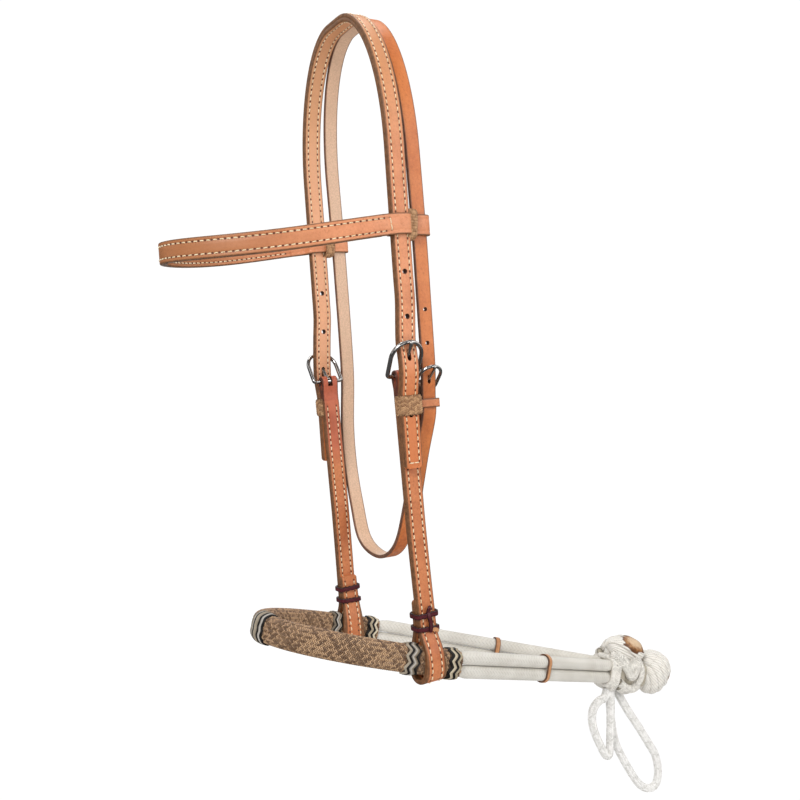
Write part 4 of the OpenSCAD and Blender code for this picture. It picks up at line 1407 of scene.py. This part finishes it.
def heel_binding():
    core, wraps = Shape(), Shape()

    def wrap(points, radius, **strands):
        path = Path(resample(nose(spline(points, 10)), 0.9), vec(1, 0.2, 0.1))
        braided_cord(core, wraps, path, radius - 0.35, 14, radius, strands=8, **strands)

    barrel(core, 242.4, 262, 14.4, 12.6)
    barrel(core, 254, 292, 11.5, 12.0)
    for x_sign in (1, -1):
        for cord in HEEL_CORDS:
            wrap(np.array(cord) * vec(x_sign, 1, 1), 2.9, lay=15.5, width=1.75,
                 thickness=0.72, rise=0.38)
    x, z = squared(np.linspace(0, 2 * math.pi, 33), 0.6)
    for y, radius in ((243.8, 1.7), (247.0, 2.4)):
        wrap(np.stack([15.2 * x, np.full_like(x, y), 12.9 * z], 1), radius, lay=13.5,
             width=1.9, thickness=0.62, rise=0.3)
    # the third colour is the painted shade under and between the cords
    wrap_material = strand("heel_cord", (232, 228, 220), (206, 202, 194), (96, 88, 74),
                           rough=0.42, half_width=1.0, specular=0.5, lift=0.7)
    barrel_material = fibrous("heel_core", (184, 176, 160), (132, 122, 102), rough=0.7,
                              scale=700)
    make("heel_wrap_core", core, barrel_material, "bosal", ["heel_binding"],
         smooth=True)
    make("heel_wraps", wraps, wrap_material, "bosal", smooth=True)


heel_binding()


# ------------------------------------------------------------------ heel knobs
def knob(name, node, material, centre, half_length, radius, cap_from, cap_axis, yarns, swirl,
         seed, grooves, groove_depth):
    """packed rope knob along y with swirling yarns and a melted cap round cap_axis; the cap
    covers directions whose cosine to that axis is above cap_from"""
    phase = np.random.default_rng(seed).uniform(0, 6.28, 6)
    rows, sides = ((90, 150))
    lat, lon = np.meshgrid(np.linspace(-1, 1, rows) * math.pi / 2, circle(sides),
                           indexing="ij")
    ring, y = radius * np.abs(np.cos(lat)) ** 0.72, half_length * np.sin(lat)
    points = np.stack([ring * np.cos(lon), y, ring * np.sin(lon)], -1)
    wobble = (0.035 * np.sin(2 * lon + phase[0]) + 0.03 * np.sin(3 * lon + 2 * lat + phase[1])
              + 0.025 * np.sin(lon + 4 * lat + phase[2]))
    yarn = np.abs(np.sin(0.5 * (yarns * lon + swirl * 14 * lat
                                + 1.2 * np.sin(2 * lon + phase[3]))))
    bundle = np.abs(np.sin(0.5 * (9 * lon - swirl * 5 * lat
                                  + 1.5 * np.sin(3 * lat + phase[2])))) ** 0.6
    groove = np.abs(np.sin(0.5 * (grooves * lon + swirl * 0.85 * grooves * lat
                                  + phase[4]))) ** 0.5
    cap = unit(points / vec(radius, half_length, radius)) @ unit(cap_axis)
    ragged = (0.06 * np.sin(7 * lon + phase[1]) * np.cos(5 * lat)
              + 0.04 * np.sin(13 * lon + 9 * lat))
    melt = np.clip((cap - cap_from + ragged) / 0.08, 0, 1)
    melt = melt * melt * (3 - 2 * melt)
    lump = 0.05 * np.sin(5 * lon + phase[0]) * np.sin(4 * lat + phase[5])
    relief = 0.030 * yarn + groove_depth * (groove - 0.75) + 0.03 * bundle
    size = 1 + wobble * 0.7 + (1 - melt) * relief + melt * (0.012 + lump * 0.35)
    shape = Shape()
    # yarn and deep drive painted shade in the knob's grooves, cp the painted shade and light on
    # its cap
    shape.add(nose(points * size[..., None] * 0.985 + centre), grid_faces(rows, sides),
              np.stack([lon * radius, y], -1), melt=melt,
              yarn=np.minimum(yarn, 0.35 + bundle) * (1 - melt),
              deep=np.clip(groove * 1.1, 0, 1),
              cp=np.clip((cap - cap_from) / (1 - cap_from), 0, 1))
    make(name, shape, material, "bosal", [node], smooth=True)


knob("heel_upper_knob", "heel_knob_upper",
     knob_material("amber_melted_rope", (128, 78, 34), (176, 128, 78)),
     centre=vec(0, 265, 21.5), half_length=22, radius=13.6, cap_from=0.66,
     cap_axis=(0.62, 0.34, 0.72), yarns=34, swirl=0.9, seed=3, grooves=4, groove_depth=0.085)
knob("heel_rear_knob", "heel_knob_rear",
     knob_material("cream_melted_rope", (224, 196, 168), (198, 160, 128)),
     centre=vec(0, 305, 4.2), half_length=16.8, radius=20.2, cap_from=0.80,
     cap_axis=(0.35, 0.9, -0.1), yarns=46, swirl=1.5, seed=5, grooves=9, groove_depth=0.06)

# ------------------------------------------------------------------ rein loops
# y, z from each loop's origin
SHORT_REIN = [
    (-1.0, 2.0), (-5, -5.5), (-12, -7), (-19, -12), (-22, -20), (-20.5, -33), (-13.5, -50),
    (-8.5, -59.5), (-5.2, -62.5), (-2.4, -59), (-0.4, -43), (1.2, -24), (2.4, -11),
    (2.8, -5.5), (3.4, 3.5)]
LONG_REIN = [
    (-2.6, 3.0), (-3.4, -6), (-5.2, -18), (-4.6, -36), (-0.3, -58), (12, -83), (26, -105),
    (39, -113), (48.5, -110.5), (52.5, -98), (50, -82), (41.5, -67), (31, -50),
    (16.5, -28), (8, -13), (5, -6), (3.4, 2.5)]


def rein(name, origin, points, body, node):
    line = resample(spline(origin + np.insert(vec(*points), 0, 0.0, axis=1), 12), 0.8)
    line[:, 0] += 0.35 * np.sin(lengths(line) * 0.06)      # a slight waver from side to side
    core, braid = Shape(), Shape()
    braided_cord(core, braid, Path(line, X_AXIS), 2.6, 16, 3.0, strands=10, lay=17.0,
                 width=1.55, thickness=0.70, rise=0.36)
    make(name + "_core", core, cord_material, body, smooth=True)
    make(name, braid, cord_material, body, [node], smooth=True)


rein("short_rein_cord", vec(4.4, 236.5, -601), SHORT_REIN,
     ("bosal", "short_rein_loop", (0.0044, 0.2365, -0.602), (0.0044, 0.2365, -0.615)),
     "rein_loop_short")
rein("long_rein_cord", vec(-4.4, 250.5, -601), LONG_REIN, "long_rein_loop", "rein_loop_long")


# ------------------------------------------------------------------ camera and stage (metres)
def add_camera():
    data = bpy.data.cameras.new("camera")
    data.lens = 42.75
    data.sensor_width = 36
    data.shift_y = 0.02125
    data.clip_start = 0.01
    camera = link("camera", data)
    right = Vector((0.4942, 0.86664, -0.06927)).normalized()
    back = Vector((0.8694, -0.49263, 0.039376)).normalized()
    up = back.cross(right).normalized()
    place = (0.6997, -0.36577, -0.28877)
    camera.matrix_world = Matrix([*zip(right, up, back, place), (0, 0, 0, 1)])
    bpy.context.scene.camera = camera


def matte(name, colour):
    material = bpy.data.materials.new(name)
    material.use_nodes = True
    shader = material.node_tree.nodes["Principled BSDF"]
    shader.inputs["Base Color"].default_value = colour
    shader.inputs["Roughness"].default_value = 0.9
    shader.inputs["Specular IOR Level"].default_value = 0.1
    return material


def white_light(tree, kind, strength):
    node = tree.nodes.new(kind)
    node.inputs[0].default_value = (1, 1, 1, 1)
    node.inputs[1].default_value = strength
    return node.outputs[0]


def for_rays(tree, rays, kind, usual, special):
    """shows the special shader to one kind of ray and the usual one to the rest"""
    mix = tree.nodes.new("ShaderNodeMixShader")
    for source, socket in zip((rays.outputs[kind], usual, special), mix.inputs):
        tree.links.new(source, socket)
    return mix.outputs[0]


def rectangle(name, corners, material):
    mesh = bpy.data.meshes.new(name)
    mesh.from_pydata(corners, [], [(0, 1, 2, 3)])
    obj = link(name, mesh)
    mesh.materials.append(material)
    return obj


def add_floor():
    """white to the camera, dim in reflections"""
    material = matte("pale_floor", (0.94, 0.94, 0.94, 1))
    rectangle("floor", [(-6, -6, -0.80), (6, -6, -0.80), (6, 6, -0.80),
                                 (-6, 6, -0.80)], material)
    tree = material.node_tree
    rays = tree.nodes.new("ShaderNodeLightPath")
    shader = for_rays(tree, rays, "Is Camera Ray", tree.nodes["Principled BSDF"].outputs[0],
                      white_light(tree, "ShaderNodeEmission", 1.05))
    shader = for_rays(tree, rays, "Is Glossy Ray", shader,
                      white_light(tree, "ShaderNodeEmission", 0.12))
    tree.links.new(shader, tree.nodes["Material Output"].inputs[0])


def add_world():
    """white to the camera; glossy rays see dark and light patches, so metal reads as metal"""
    world = bpy.data.worlds.new("studio")
    bpy.context.scene.world = world
    world.use_nodes = True
    tree = world.node_tree
    tree.nodes.clear()
    output = tree.nodes.new("ShaderNodeOutputWorld")
    rays = tree.nodes.new("ShaderNodeLightPath")
    light = for_rays(tree, rays, "Is Camera Ray",
                     white_light(tree, "ShaderNodeBackground", 0.62),
                     white_light(tree, "ShaderNodeBackground", 1.05))
    place = tree.nodes.new("ShaderNodeTexCoord")
    noise = tree.nodes.new("ShaderNodeTexNoise")
    noise.inputs["Scale"].default_value = 1.7
    noise.inputs["Detail"].default_value = 1.0
    levels = tree.nodes.new("ShaderNodeMapRange")
    for key, value in {"From Min": 0.44, "From Max": 0.56, "To Min": 0.03,
                       "To Max": 1.25}.items():
        levels.inputs[key].default_value = value
    patches = tree.nodes.new("ShaderNodeBackground")
    patches.inputs[0].default_value = (1, 1, 1, 1)
    tree.links.new(place.outputs["Generated"], noise.inputs["Vector"])
    tree.links.new(noise.outputs["Fac"], levels.inputs["Value"])
    tree.links.new(levels.outputs["Result"], patches.inputs[1])
    light = for_rays(tree, rays, "Is Glossy Ray", light, patches.outputs[0])
    tree.links.new(light, output.inputs[0])


def add_light(name, place, target, size, energy):
    data = bpy.data.lights.new(name, "AREA")
    data.shape = "DISK"
    data.size = size
    data.energy = energy
    light = link(name, data)
    light.location = place
    aim = Vector(target) - Vector(place)
    light.rotation_euler = aim.to_track_quat("-Z", "Y").to_euler()


def add_card(name, centre, half_side, half_height):
    """black card seen only in reflections"""
    centre, side, height = map(Vector, (centre, half_side, half_height))
    corners = [centre - side - height, centre + side - height, centre + side + height,
               centre - side + height]
    card = rectangle(name, corners, matte(name, (0.01, 0.01, 0.01, 1)))
    card.visible_camera = False
    card.visible_diffuse = False
    card.visible_shadow = False
    card.visible_transmission = False


add_camera()
add_floor()
add_world()
add_light("key", (1.2, -1.3, 0.9), (0, 0.05, -0.3), size=0.8, energy=22)
add_light("fill", (1.5, 0.9, 0.2), (0, 0.05, -0.35), size=1.2, energy=9)
add_light("top", (-0.3, 0.2, 1.4), (0, 0.05, -0.3), size=1.2, energy=12)
add_card("dark_card_left", (0.6, -1.5, -0.2), (0.10, 0.06, 0), (0, 0, 0.8))
add_card("dark_card_right", (1.5, 0.35, -0.3), (0.05, 0.12, 0), (0, 0, 0.8))
add_card("dark_card_low", (1.0, -0.6, -0.76), (0.4, 0.2, 0), (-0.1, 0.2, 0.0))
view = bpy.context.scene.view_settings
view.view_transform = "Standard"
view.look = "None"
view.exposure = 0.0
view.gamma = 1.0
